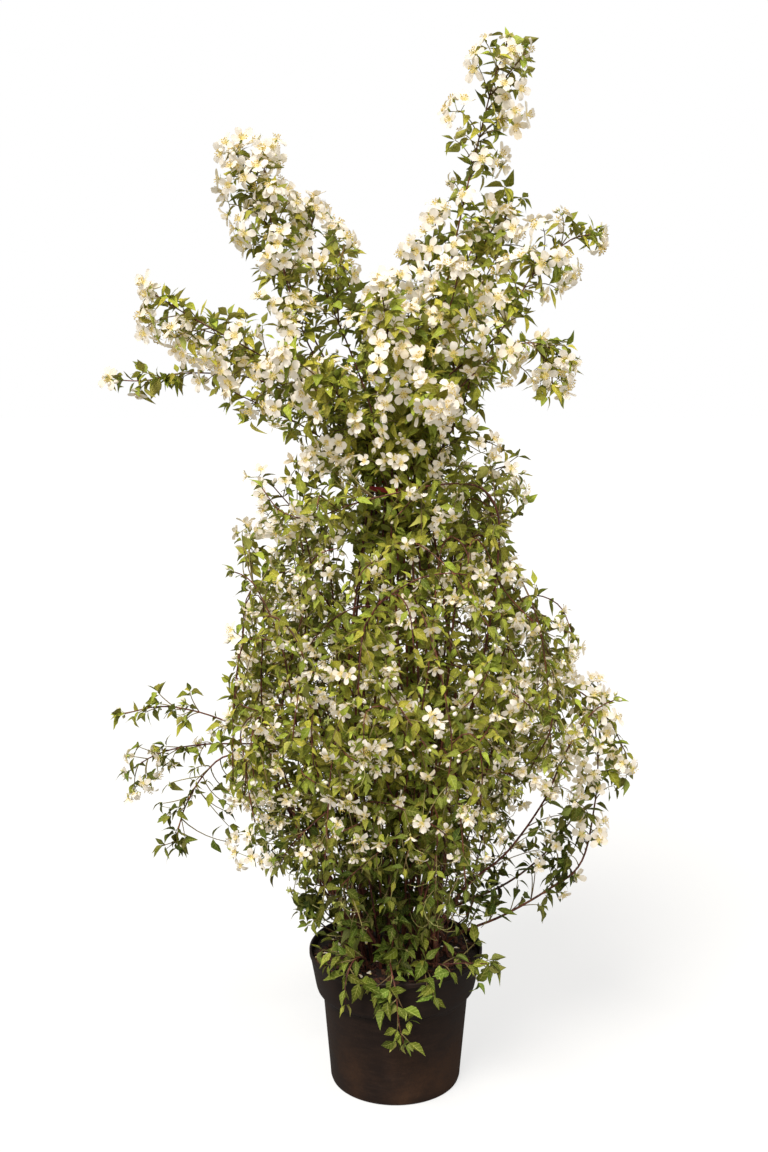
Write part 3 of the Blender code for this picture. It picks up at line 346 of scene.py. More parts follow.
def makePotMaterial():
    material, tree, shader = newMaterial("potPlastic")
    place = objectPlace(tree)
    dust = useGroup(tree, dustGroup, Place=place, Drift=7.0, Grain=210.0, Amount=0.9)
    low = spanTo(tree, axes(tree, place)[2], potLook["dustHigh"], potLook["dustLow"], 0.12, 1.0)
    dusty = times(tree, dust["Mask"], low)
    scuffs = noiseMask(tree, place, 26.0, detail=6.0, roughness=0.75, stretch=(1.0, 1.0, 5.0))
    colour = blendColour(tree, spanTo(tree, scuffs, 0.42, 0.75, 0.0, 0.9), potLook["plastic"], potLook["worn"])
    colour = blendColour(tree, times(tree, dusty, 0.7), colour, potLook["dust"])
    rough = calc(tree, "ADD", spanTo(tree, scuffs, 0.3, 0.8, 0.44, 0.62), times(tree, dusty, 0.3))
    paint(tree, shader, colour, rough, 0.16)
    bump(tree, shader, calc(tree, "ADD", scuffs, dust["Height"]), 0.25, 0.0005)
    return material


def makeSoilMaterial(name, dark, light, fleck):
    material, tree, shader = newMaterial(name)
    place = objectPlace(tree)
    clods = noiseMask(tree, place, 55.0, detail=8.0, roughness=0.75)
    crumbs = noiseMask(tree, place, 260.0, detail=4.0, roughness=0.7)
    colour = blendColour(tree, spanTo(tree, clods, 0.35, 0.7), dark, light)
    colour = blendColour(tree, spanTo(tree, crumbs, 0.60, 0.72, 0.0, 0.8), colour, fleck)
    colour = vary(tree, colour, attribute(tree, "shade"), 0.03, 0.9)
    paint(tree, shader, colour, spanTo(tree, crumbs, 0.2, 0.8, 0.75, 0.95))
    bump(tree, shader, calc(tree, "ADD", clods, crumbs), 0.9, 0.002)
    return material


def makeTieMaterial():
    # a flat woven band
    material, tree, shader = newMaterial("tieWeave")
    place = objectPlace(tree)
    weave = addNode(tree, "ShaderNodeTexWave", {"Vector": place, "Scale": 260.0, "Distortion": 1.5},
                    wave_type="BANDS", bands_direction="Z").outputs["Fac"]
    fuzz = noiseMask(tree, place, 700.0, detail=3.0)
    colour = blendColour(tree, times(tree, weave, fuzz), linearColour(170, 34, 46), linearColour(222, 96, 98))
    paint(tree, shader, colour, spanTo(tree, fuzz, 0.2, 0.8, 0.6, 0.85))
    bump(tree, shader, calc(tree, "ADD", weave, fuzz), 0.6, 0.0004)
    return material


leafMaterial = makeLeafMaterial("leafGreen", leafColours["deep"], leafColours["light"], 5.0)
freshMaterial = makeLeafMaterial("leafFresh", leafColours["freshDeep"], leafColours["freshLight"], 6.0)
petalMaterial = makePetalMaterial()
stamenMaterial = makeStamenMaterial()
calyxMaterial = makeCalyxMaterial()
barkMaterial = makeBarkMaterial()
potMaterial = makePotMaterial()
soilMaterial = makeSoilMaterial("compost", linearColour(20, 13, 9), linearColour(52, 34, 24), linearColour(96, 66, 46))
chipMaterial = makeSoilMaterial("barkChips", linearColour(58, 32, 22), linearColour(104, 62, 42),
                                linearColour(140, 98, 70))
tieMaterial = makeTieMaterial()
print("materials made:", len(bpy.data.materials))


# the canes run by the same rules as in the solid model
potSize = {"height": 0.290, "rim": 0.180, "band": 0.166, "bandDepth": 0.086, "neck": 0.151, "base": 0.137,
           "wall": 0.003, "steps": 128, "holes": 4, "holeRadius": 0.008, "holeRing": 0.098}
soilSize = {"edge": 0.274, "crown": 0.284, "bump": 0.002, "rootDepth": 0.045, "upright": 0.014}
tieSize = {"height": 1.262, "waist": 0.072, "half": 0.030}
caneSize = {"step": 0.025, "feet": 0.112, "foot": 0.0030, "dressedTip": 0.0012, "clearance": 0.019}
goldenShare = 0.6180339887

crownCanes = (
    {"route": ((0.07, 0.00, 1.39), (0.085, 0.00, 1.58), (0.12, 0.00, 1.77), (0.15, 0.00, 1.90),
               (0.18, 0.00, 2.02), (0.205, 0.00, 2.09)), "plume": 0.36,
     "fork": ((0.173, 0.00, 1.99), (0.215, -0.01, 2.045), (0.24, -0.01, 2.075))},
    {"route": ((0.06, 0.04, 1.40), (0.10, 0.05, 1.58), (0.14, 0.05, 1.67), (0.215, 0.05, 1.81)),
     "plume": 0},
    {"route": ((0.05, -0.03, 1.38), (0.09, -0.05, 1.47), (0.19, -0.05, 1.555), (0.25, -0.05, 1.66),
               (0.32, -0.05, 1.73), (0.375, -0.05, 1.745)), "plume": 0.30},
    {"route": ((0.06, -0.07, 1.36), (0.10, -0.10, 1.44), (0.19, -0.10, 1.525), (0.26, -0.10, 1.545),
               (0.32, -0.10, 1.515)), "plume": 0.22,
     "fork": ((0.262, -0.10, 1.543), (0.285, -0.11, 1.50), (0.292, -0.12, 1.455))},
    {"route": ((-0.05, 0.00, 1.36), (-0.10, 0.00, 1.44), (-0.17, 0.00, 1.57), (-0.22, 0.00, 1.69),
               (-0.27, 0.00, 1.82), (-0.30, 0.00, 1.89)), "plume": 0.36},
    {"route": ((-0.04, 0.03, 1.38), (-0.09, 0.05, 1.52), (-0.14, 0.05, 1.64), (-0.165, 0.05, 1.72),
               (-0.16, 0.05, 1.79)), "plume": 0.28,
     "fork": ((-0.11, 0.05, 1.565), (-0.115, 0.03, 1.65), (-0.10, 0.02, 1.725))},
    {"route": ((-0.04, -0.03, 1.34), (-0.08, -0.05, 1.39), (-0.15, -0.05, 1.45),
               (-0.27, -0.05, 1.525), (-0.38, -0.05, 1.585), (-0.46, -0.05, 1.635)), "plume": 0.34},
    {"route": ((-0.06, 0.05, 1.34), (-0.11, 0.09, 1.37), (-0.19, 0.10, 1.42), (-0.29, 0.10, 1.465),
               (-0.42, 0.10, 1.475), (-0.50, 0.10, 1.46), (-0.545, 0.10, 1.46)), "plume": 0},
    {"route": ((0.00, -0.08, 1.38), (-0.01, -0.15, 1.50), (-0.02, -0.21, 1.59), (-0.03, -0.25, 1.65)),
     "plume": 0.24},
    {"route": ((0.03, -0.06, 1.40), (0.07, -0.12, 1.53), (0.10, -0.18, 1.63), (0.11, -0.21, 1.68)),
     "plume": 0.24},
    {"route": ((-0.03, 0.07, 1.40), (-0.07, 0.16, 1.56), (-0.11, 0.25, 1.69), (-0.13, 0.29, 1.75)),
     "plume": 0.28},
    {"route": ((0.04, 0.06, 1.40), (0.10, 0.16, 1.58), (0.15, 0.25, 1.70), (0.18, 0.29, 1.76)),
     "plume": 0.28},
    {"route": ((0.02, 0.01, 1.40), (0.04, 0.02, 1.55), (0.06, 0.02, 1.67), (0.075, 0.01, 1.77)),
     "plume": 0.28},
    {"route": ((-0.01, 0.09, 1.36), (-0.03, 0.20, 1.46), (-0.02, 0.31, 1.52), (0.00, 0.39, 1.53)),
     "plume": 0.22},
    {"route": ((0.02, -0.08, 1.36), (0.05, -0.18, 1.45), (0.07, -0.27, 1.475), (0.08, -0.34, 1.45)),
     "plume": 0.20},
    {"route": ((-0.04, -0.06, 1.36), (-0.10, -0.13, 1.44), (-0.16, -0.19, 1.50), (-0.20, -0.23, 1.53)),
     "plume": 0.20},
)

skirtCanes = (
    ((-0.12, -0.05, 0.42), (-0.19, -0.06, 0.60), (-0.26, -0.05, 0.755), (-0.33, -0.05, 0.79),
     (-0.40, -0.05, 0.815), (-0.47, -0.05, 0.825), (-0.54, -0.05, 0.81)),
    ((-0.12, 0.04, 0.42), (-0.18, 0.05, 0.58), (-0.25, 0.05, 0.70), (-0.34, 0.05, 0.715),
     (-0.43, 0.05, 0.71), (-0.50, 0.05, 0.69), (-0.555, 0.05, 0.655)),
    ((-0.11, -0.09, 0.42), (-0.18, -0.11, 0.58), (-0.27, -0.11, 0.72), (-0.33, -0.10, 0.74),
     (-0.38, -0.10, 0.70), (-0.42, -0.10, 0.63), (-0.44, -0.10, 0.56)),
    ((-0.12, -0.02, 0.38), (-0.18, -0.04, 0.50), (-0.225, -0.04, 0.65), (-0.23, -0.02, 0.81),
     (-0.20, -0.01, 0.95), (-0.17, 0.00, 1.08), (-0.19, 0.00, 1.19), (-0.24, -0.01, 1.26)),
    ((-0.12, -0.06, 0.42), (-0.16, -0.10, 0.60), (-0.19, -0.15, 0.80), (-0.22, -0.16, 0.98),
     (-0.27, -0.14, 1.09), (-0.31, -0.11, 1.11)),
    ((-0.06, -0.12, 0.45), (-0.08, -0.19, 0.70), (-0.07, -0.24, 0.97), (-0.05, -0.24, 1.05),
     (-0.01, -0.26, 1.10), (0.02, -0.30, 1.08), (0.03, -0.33, 1.01)),
    ((0.02, -0.09, 0.45), (0.02, -0.13, 0.75), (0.00, -0.15, 1.00), (0.005, -0.175, 1.09),
     (0.035, -0.21, 1.075), (0.065, -0.265, 1.01), (0.085, -0.30, 0.93), (0.10, -0.31, 0.83),
     (0.09, -0.30, 0.73)),
    ((0.06, -0.08, 0.45), (0.09, -0.09, 0.75), (0.11, -0.09, 1.00), (0.13, -0.095, 1.15),
     (0.17, -0.11, 1.18), (0.23, -0.13, 1.11), (0.27, -0.145, 1.02), (0.29, -0.15, 0.90),
     (0.30, -0.15, 0.76)),
    ((0.14, -0.02, 0.33), (0.22, -0.02, 0.365), (0.31, -0.02, 0.42), (0.38, -0.02, 0.48),
     (0.405, -0.02, 0.60), (0.41, -0.02, 0.70), (0.40, -0.02, 0.79)),
    ((0.09, -0.06, 0.37), (0.15, -0.07, 0.46), (0.22, -0.09, 0.53), (0.29, -0.12, 0.65),
     (0.33, -0.14, 0.76), (0.38, -0.14, 0.84), (0.42, -0.13, 0.86)),
    ((0.12, 0.05, 0.35), (0.23, 0.06, 0.40), (0.31, 0.07, 0.46), (0.37, 0.07, 0.54), (0.41, 0.07, 0.61)),
    ((0.09, 0.01, 0.42), (0.15, 0.01, 0.60), (0.24, 0.01, 0.78), (0.34, 0.00, 0.85), (0.42, -0.01, 0.80),
     (0.465, -0.02, 0.72)),
    ((0.07, 0.06, 0.45), (0.12, 0.08, 0.70), (0.19, 0.08, 0.92), (0.26, 0.07, 1.02), (0.33, 0.06, 1.01),
     (0.36, 0.05, 0.95)),
    ((0.07, -0.05, 0.45), (0.13, -0.10, 0.75), (0.18, -0.13, 1.02), (0.195, -0.125, 1.20),
     (0.16, -0.13, 1.275), (0.08, -0.15, 1.285), (0.00, -0.155, 1.27), (-0.08, -0.155, 1.25),
     (-0.16, -0.14, 1.22), (-0.22, -0.12, 1.23), (-0.255, -0.10, 1.27)),
    ((0.06, 0.05, 0.50), (0.10, 0.06, 0.90), (0.12, 0.05, 1.15), (0.16, 0.02, 1.26), (0.21, 0.00, 1.30),
     (0.24, 0.00, 1.285)),
)

# compass angle in degrees, then radius and height of the top of the arch and of the tip
skirtArches = (
    (50, 0.20, 1.12, 0.32, 0.80), (72, 0.22, 0.85, 0.35, 0.60), (92, 0.18, 1.22, 0.31, 0.95),
    (112, 0.24, 0.80, 0.37, 0.55), (135, 0.20, 1.08, 0.33, 0.78), (160, 0.22, 0.88, 0.33, 0.62),
    (-115, 0.22, 0.85, 0.32, 0.58), (-66, 0.20, 0.78, 0.32, 0.54),
)

lowShoots = (
    ((-0.065, -0.12, 0.32), (-0.085, -0.165, 0.335), (-0.10, -0.20, 0.305), (-0.10, -0.21, 0.265)),
    ((-0.01, -0.13, 0.315), (-0.01, -0.175, 0.32), (0.00, -0.205, 0.285), (0.005, -0.208, 0.225),
     (0.015, -0.20, 0.175)),
    ((0.05, -0.11, 0.305), (0.09, -0.14, 0.315), (0.14, -0.155, 0.325), (0.185, -0.16, 0.325)),
    ((-0.09, 0.09, 0.33), (-0.13, 0.13, 0.355), (-0.18, 0.16, 0.36)),
)

habits = {
    "crown": {"leafyAfter": 0.31, "spacing": 0.022, "twigChance": 0.66, "twig": (0.028, 0.080), "outward": 0.35,
              "bloomChance": 0.44, "coreBloom": 0.06, "bloomFrom": 1.31, "leaf": (0.031, 0.048), "droop": 0.30,
              "sag": 0.20, "cluster": (1, 2, 2, 3), "buds": 0.16},
    "skirt": {"leafyAfter": 0.16, "spacing": 0.029, "twigChance": 0.54, "twig": (0.035, 0.110), "outward": 0.35,
              "bloomChance": 0.70, "coreBloom": 0.52, "bloomFrom": 0.58, "leaf": (0.022, 0.038), "droop": 0.50,
              "sag": 0.60, "cluster": (1, 1, 1, 2, 2, 3), "buds": 0.26},
    "low": {"leafyAfter": 0.07, "spacing": 0.055, "twigChance": 0.05, "twig": (0.020, 0.040), "outward": 0.3,
            "bloomChance": 0.00, "coreBloom": 0.0, "bloomFrom": 9.0, "leaf": (0.030, 0.042), "droop": 0.35,
            "sag": 0.30, "cluster": (1,), "buds": 0.0},
    "inner": {"leafyAfter": 0.16, "spacing": 0.036, "twigChance": 0.25, "twig": (0.030, 0.070), "outward": 0.6,
              "bloomChance": 0.04, "coreBloom": 0.0, "bloomFrom": 0.55, "leaf": (0.026, 0.040), "droop": 0.45,
              "sag": 0.35, "cluster": (1,), "buds": 0.10},
}

# how far the foliage reaches, left and right, at heights from the foot of the skirt up to the waist
reach = {
    "heights": (0.30, 0.37, 0.44, 0.52, 0.61, 0.70, 0.84, 0.95, 1.05, 1.16, 1.26, 1.33),
    "left": (-0.14, -0.175, -0.24, -0.32, -0.345, -0.345, -0.34, -0.325, -0.31, -0.30, -0.26, -0.15),
    "right": (0.18, 0.31, 0.38, 0.40, 0.43, 0.46, 0.40, 0.34, 0.275, 0.24, 0.23, 0.15),
    "rightFan": (0.14, 0.155, 0.17, 0.19, 0.22, 0.27, 0.345, 0.315, 0.25, 0.205, 0.19, 0.12),
    "box": ((-0.585, -0.372, 0.0), (0.475, 0.415, 2.105)), "deepest": 0.36, "deepShare": 0.52}


def runLength(points):
    steps = np.linalg.norm(np.diff(points, axis=0), axis=1)
    return np.concatenate([[0], np.cumsum(steps)])


def smoothRoute(points, step):
    # points about a step apart on a smooth curve through the given ones
    p = np.array(points, float)
    p = np.vstack([2 * p[0] - p[1], p, 2 * p[-1] - p[-2]])
    pieces = []
    for a, b, c, d in zip(p, p[1:], p[2:], p[3:]):
        t = np.linspace(0, 1, 16, endpoint=False)[:, None]
        pieces.append(0.5 * (2 * b + (c - a) * t + (2 * a - 5 * b + 4 * c - d) * t ** 2
                             + (3 * b - a - 3 * c + d) * t ** 3))
    dense = np.vstack(pieces + [p[-2:-1]])
    run = runLength(dense)
    at = np.linspace(0, run[-1], max(4, round(run[-1] / step) + 1))
    return np.stack([np.interp(at, run, dense[:, k]) for k in range(3)], axis=1)


def spotsInDisc(count, radius):
    # evenly spread, in the order of a sunflower's seeds
    golden = math.pi * (3 - math.sqrt(5))
    return [np.array([math.cos(k * golden), math.sin(k * golden)]) * radius * math.sqrt((k + 0.5) / count)
            for k in range(count)]


def shareSpots(wanted, radius):
    # each wanted place gets the free spot nearest to it, the outermost place first
    free = spotsInDisc(len(wanted), radius)
    given = {}
    for i in sorted(range(len(wanted)), key=lambda i: -np.linalg.norm(wanted[i])):
        best = min(range(len(free)), key=lambda k: np.linalg.norm(free[k] - wanted[i]))
        given[i] = free.pop(best)
    return [given[i] for i in range(len(wanted))]


def soilHeight(x, y):
    r = min(1.0, math.hypot(x, y) / potSize["rim"])
    bumpy = noise.noise(Vector((x * 28, y * 28, 3.7))) * soilSize["bump"]
    return soilSize["edge"] + (soilSize["crown"] - soilSize["edge"]) * (1 - r * r) + bumpy


def archPoints(angle, archRadius, archHeight, tipRadius, tipHeight):
    c, s = math.cos(math.radians(angle)), math.sin(math.radians(angle))
    drop = archHeight - tipHeight
    radii = (0.55 * archRadius, 0.80 * archRadius, archRadius, 0.35 * archRadius + 0.65 * tipRadius, tipRadius)
    heights = (0.42, 0.30 + 0.60 * (archHeight - 0.30), archHeight, archHeight - 0.25 * drop, tipHeight)
    return [(r * c, r * s, z) for r, z in zip(radii, heights)]


def uprightPoints(cane):
    return int(np.argmax(cane["route"][:, 2] >= cane["ground"] + soilSize["upright"]))


def heldPoints(cane):
    # the foot of a cane and its waist inside the tie stay where they are
    z = cane["route"][:, 2]
    held = np.arange(len(z)) < uprightPoints(cane)
    if cane["kind"] == "crown":
        held |= abs(z - tieSize["height"]) < tieSize["half"] + 0.004
    return held


def nearestPlaces(a0, a1, b0, b1):
    # for pairs of segments, how far along each their nearest points lie
    u, v, w = a1 - a0, b1 - b0, a0 - b0
    uu, uv, vv = (u * u).sum(1), (u * v).sum(1), (v * v).sum(1)
    uw, vw = (u * w).sum(1), (v * w).sum(1)
    det = np.maximum(uu * vv - uv * uv, 1e-12)
    s = np.clip((uv * vw - vv * uw) / det, 0, 1)
    t = np.clip((uv * s + vw) / vv, 0, 1)
    return np.clip((uv * t - uw) / uu, 0, 1), t


# rounds in all, how many of them settle the routes, steps of the two kinds, how often neighbours are looked up
spreading = {"rounds": 90, "settling": 12, "step": 1.5, "lastStep": 0.9, "lookUp": 10, "nearBy": 0.05}


def spreadRoutes(routes, held):
    # bends routes gently apart wherever two pass closer than the clearance
    clearance = caneSize["clearance"]
    first = np.concatenate([[0], np.cumsum([len(r) for r in routes])])
    points = np.vstack(routes)
    fixed = np.concatenate(held)
    owner = np.concatenate([[i] * len(r) for i, r in enumerate(routes)])
    segments = np.nonzero(owner[:-1] == owner[1:])[0]
    for turn in range(spreading["rounds"]):
        if turn % spreading["lookUp"] == 0:
            middle = (points[segments] + points[segments + 1]) / 2
            near = ((middle[:, None] - middle[None]) ** 2).sum(2) < (clearance + spreading["nearBy"]) ** 2
            near &= owner[segments][:, None] < owner[segments][None]
            i, j = (segments[k] for k in np.nonzero(near))
        s, t = nearestPlaces(points[i], points[i + 1], points[j], points[j + 1])
        s, t = s[:, None], t[:, None]
        apart = points[i] * (1 - s) + points[i + 1] * s - points[j] * (1 - t) - points[j + 1] * t
        gap = np.linalg.norm(apart, axis=1, keepdims=True)
        aside = np.where(gap > 1e-4, apart / np.maximum(gap, 1e-4), [[1.0, 0.0, 0.0]])
        push = aside * np.maximum(clearance - gap, 0) * 0.5
        move = np.zeros_like(points)
        for index, share in ((i, push * (1 - s)), (i + 1, push * s), (j, -push * (1 - t)), (j + 1, -push * t)):
            np.add.at(move, index, share)
        move[fixed] = 0
        last = turn >= spreading["rounds"] - spreading["settling"]
        for a, b in zip(first, first[1:]):
            for _ in range(1 if last else 4):
                padded = np.vstack([move[a:a + 1], move[a:b], move[b - 1:b]])
                move[a:b] = 0.25 * padded[:-2] + 0.5 * padded[1:-1] + 0.25 * padded[2:]
        move[fixed] = 0
        points += move * spreading["lastStep" if last else "step"]
    for route, a, b in zip(routes, first, first[1:]):
        route[:] = points[a:b]


# how the canes in the tie belly out below it, how far in they all start, where they leave the soil
bundle = {"belly": ((1.35, 0.45), (1.9, 0.75), (1.5, 1.02)), "inward": 0.72, "overSoil": 0.012}


def planCanes():
    canes = []
    waists = shareSpots([unit(np.array(c["route"][1][:2])) * tieSize["waist"] for c in crownCanes],
                        tieSize["waist"])
    for cane, waist in zip(crownCanes, waists):
        low, high = tieSize["height"] - tieSize["half"], tieSize["height"] + tieSize["half"]
        start = [(*(waist * out), z) for out, z in bundle["belly"]] + [(*waist, low), (*waist, high)]
        canes.append({"kind": "crown", "points": start + list(cane["route"]), "waist": waist,
                      "plume": cane["plume"], "fork": cane.get("fork")})
    skirts = list(skirtCanes) + [archPoints(*arch) for arch in skirtArches]
    canes += [{"kind": "skirt", "points": list(route), "plume": 0, "fork": None} for route in skirts]
    canes += [{"kind": "low", "points": list(route), "plume": 0, "fork": None} for route in lowShoots]
    wanted = [np.array(c["points"][0][:2]) * bundle["inward"] for c in canes]
    for cane, foot in zip(canes, shareSpots(wanted, caneSize["feet"])):
        ground = soilHeight(*foot)
        cane["foot"] = foot
        cane["ground"] = ground
        start = [(*foot, ground - soilSize["rootDepth"]), (*foot, ground + bundle["overSoil"])]
        cane["route"] = smoothRoute(start + cane["points"], caneSize["step"])
    spreadRoutes([c["route"] for c in canes], [heldPoints(c) for c in canes])
    return canes


skyward = np.array([0, 0, 1.0])


def beside(direction, turn):
    # a unit vector square to a direction, at an angle round it
    reference = skyward if abs(direction[2]) < 0.9 else np.array([1.0, 0, 0])
    a = unit(np.cross(direction, reference))
    return a * math.cos(turn) + np.cross(direction, a) * math.sin(turn)


pairLook = {"lean": (0.0, 1.0), "loose": (-0.35, 0.35), "droop": (-0.4, 2.0)}


def leafPair(centre, stem, side, length, droop, rng):
    blades = []
    for sign in (1, -1):
        lean = rng.uniform(*pairLook["lean"])
        loose = np.array([rng.uniform(*pairLook["loose"]) for _ in range(3)])
        blades.append(unit(side * sign + stem * lean - skyward * droop * rng.uniform(*pairLook["droop"]) + loose))
    face = unit(skyward * 0.8 + stem * 0.25 + unit(centre * [1, 1, 0]) * 0.6)
    return {"centre": centre, "blades": blades, "face": face, "length": length}


bloomRing = {"inner": 0.08, "width": 0.12}


def bloomShare(place, habit):
    # flowers crowd the outer ends of the sprays and thin out towards the core
    away = np.clip((math.hypot(place[0], place[1]) - bloomRing["inner"]) / bloomRing["width"], 0, 1)
    return habit["coreBloom"] + (habit["bloomChance"] - habit["coreBloom"]) * away


# towards a cane's end its twigs shorten; how a twig in flower and a leafy one rise; stalks and sizes of its blooms
twigForm = {"least": 0.45, "fullFrom": 0.16, "pairGap": 0.022, "bloomRise": (-0.45, 0.20), "leafRise": (-0.05, 0.55),
            "lean": (0.3, 1.1), "sag": (0.3, 1.6), "sway": 0.25, "nod": (-0.7, 0.4), "apart": (0.8, 1.5),
            "stalk": (0.006, 0.013), "sideStalk": 0.004, "bloom": (0.82, 1.12)}


def growTwig(root, stem, side, habit, rng, blooming, left):
    # a curved spine with pairs of leaves; one in flower hangs a little, a leafy one rises
    out = unit(root * [1, 1, 0])
    length = rng.uniform(*habit["twig"])
    length *= twigForm["least"] + (1 - twigForm["least"]) * min(1.0, left / twigForm["fullFrom"])
    rise = rng.uniform(*twigForm["bloomRise" if blooming else "leafRise"])
    aim = unit(side + stem * rng.uniform(*twigForm["lean"]) + out * habit["outward"] + np.array([0, 0, rise]))
    sag = np.array([0, 0, -habit["sag"] * rng.uniform(*twigForm["sag"])])
    sway = beside(aim, rng.uniform(0, math.tau)) * rng.uniform(0, twigForm["sway"])
    ways = np.linspace(0, 1, 5)[:, None]
    spine = root + aim * length * ways + (sag + sway) * length * ways ** 2
    turn = rng.uniform(0, math.tau)
    pairs = []
    count = max(1, round(length / twigForm["pairGap"]))
    for k in range(count):
        place = (k + 0.8) / count
        centre = root + aim * length * place + (sag + sway) * length * place ** 2
        leaf = rng.uniform(*habit["leaf"]) * (1.05 - 0.30 * place)
        pairs.append(leafPair(centre, aim, beside(aim, turn), leaf, habit["droop"], rng))
        turn += math.pi / 2 + rng.uniform(-0.4, 0.4)
    blooms = []
    if blooming:
        aimEnd = unit(spine[-1] - spine[-2])
        facing = unit(aimEnd + np.array([0, 0, rng.uniform(*twigForm["nod"])]) + out * 0.35)
        count = rng.choice(habit["cluster"])
        start = rng.uniform(0, math.tau)
        for k in range(count):
            spread = 0.0 if k == 0 else rng.uniform(*twigForm["apart"])
            way = unit(facing + beside(facing, start + k * bloomSize["turn"]) * spread)
            stalk = rng.uniform(*twigForm["stalk"]) + (twigForm["sideStalk"] if k else 0)
            stalkFoot = spine[-1] - aimEnd * 0.007 * (k // 2)
            blooms.append({"centre": stalkFoot + way * stalk, "facing": way, "start": stalkFoot,
                           "size": rng.uniform(*twigForm["bloom"])})
    return {"spine": spine, "pairs": pairs, "blooms": blooms}


def growCane(route, habit, rng, bareTip):
    # leaf pairs and twigs along a route; joints turn by a quarter from one to the next
    run = runLength(route)
    turn = rng.uniform(0, math.tau)
    at = habit["leafyAfter"] + rng.uniform(0, 0.02)
    joints = []
    while at < run[-1] - 0.006:
        centre, ahead, behind = (np.array([np.interp(at + step, run, route[:, k]) for k in range(3)])
                                 for step in (0, 0.01, -0.01))
        stem = unit(ahead - behind)
        side = beside(stem, turn)
        pair = leafPair(centre, stem, side, rng.uniform(*habit["leaf"]), habit["droop"], rng)
        twigs = []
        for sign in (1, -1):
            ready = centre[2] > habit["bloomFrom"] and at < run[-1] - bareTip
            blooming = ready and rng.random() < bloomShare(centre, habit)
            if rng.random() < habit["twigChance"]:
                twigs.append(growTwig(centre, stem, side * sign, habit, rng, blooming, run[-1] - at))
        joints.append({"centre": centre, "pair": pair, "twigs": twigs})
        at += habit["spacing"] * rng.uniform(0.75, 1.3)
        turn += math.pi / 2 + rng.uniform(-0.35, 0.35)
    return joints


canes = planCanes()
print("canes planned:", len(canes))


bloomSize = {"radius": 0.0228, "skirt": 0.80, "core": 0.84, "coreTop": 1.56, "coreRadius": 0.20, "calyx": 0.0075,
             "stalk": 0.0008, "leastStalk": 0.0015, "turn": 2.4, "hidden": 0.85, "hiddenInside": 0.6}
growth = {"seed": 5, "leafKinds": 8, "bareShare": 0.08, "innerThin": 0.25, "thinInside": 0.5, "inside": 0.52,
          "stemScale": 1.15, "fanShoots": 24, "fanSeed": 17, "fanHeight": (0.62, 1.24), "sideShoots": 84,
          "sideSeed": 23, "bloomFloor": 0.52, "footGap": 0.06, "crownPaintedLight": 0.28,
          # heights, then the share of leaves that grows there, how much darker they are painted as shade under the
          # plant, how many look fresh
          "footThin": ((0.34, 0.44, 0.60, 0.72), (0.24, 0.38, 0.78, 1.0)),
          "footPaintedShade": ((0.30, 0.45, 0.74), (0.76, 0.66, 0.0)), "footGreen": ((0.42, 0.80), (0.95, 0.0)),
          # inside the bundle under the tie
          "deepBelow": 1.12, "deepBare": 0.45, "deepTwigs": 0.35, "tieGap": 0.012}

# thin young canes that stand in the bundle: how many, their heights, where they start, their habit
thinShoots = (
    {"seed": 58, "count": 20, "height": (0.50, 0.95), "spread": (0.05, 1.1), "habit": {}},
    {"seed": 61, "count": 22, "height": (0.34, 0.54), "spread": (0.30, 1.25),
     "habit": {"leafyAfter": 0.075, "spacing": 0.026, "leaf": (0.030, 0.046), "twigChance": 0.35,
               "twig": (0.025, 0.055), "bloomChance": 0.0, "buds": 0.0}})

crownSprays = (
    ((-0.05, -0.02, 1.28), (-0.11, -0.04, 1.335), (-0.19, -0.05, 1.39), (-0.27, -0.06, 1.43), (-0.31, -0.06, 1.45)),
    ((-0.05, 0.03, 1.30), (-0.14, 0.04, 1.38), (-0.23, 0.04, 1.46), (-0.32, 0.03, 1.54), (-0.40, 0.03, 1.57)),
    ((0.05, -0.03, 1.28), (0.085, -0.06, 1.34), (0.12, -0.08, 1.41), (0.14, -0.09, 1.48)),
    ((0.05, 0.02, 1.30), (0.10, 0.02, 1.44), (0.13, 0.02, 1.58), (0.19, 0.02, 1.70), (0.21, 0.02, 1.78)),
    ((-0.04, 0.00, 1.30), (-0.10, -0.02, 1.42), (-0.17, -0.02, 1.54), (-0.21, -0.02, 1.66), (-0.24, -0.02, 1.78),
     (-0.25, -0.02, 1.88)),
    ((0.02, -0.05, 1.28), (0.03, -0.10, 1.40), (0.03, -0.14, 1.50), (0.02, -0.16, 1.60)),
    ((-0.02, 0.05, 1.30), (-0.04, 0.08, 1.44), (-0.03, 0.10, 1.55), (-0.02, 0.11, 1.62)),
    ((0.06, 0.04, 1.30), (0.11, 0.10, 1.44), (0.15, 0.16, 1.56), (0.17, 0.20, 1.64)),
    ((-0.05, 0.05, 1.30), (-0.12, 0.12, 1.40), (-0.18, 0.19, 1.47), (-0.22, 0.24, 1.50)),
)

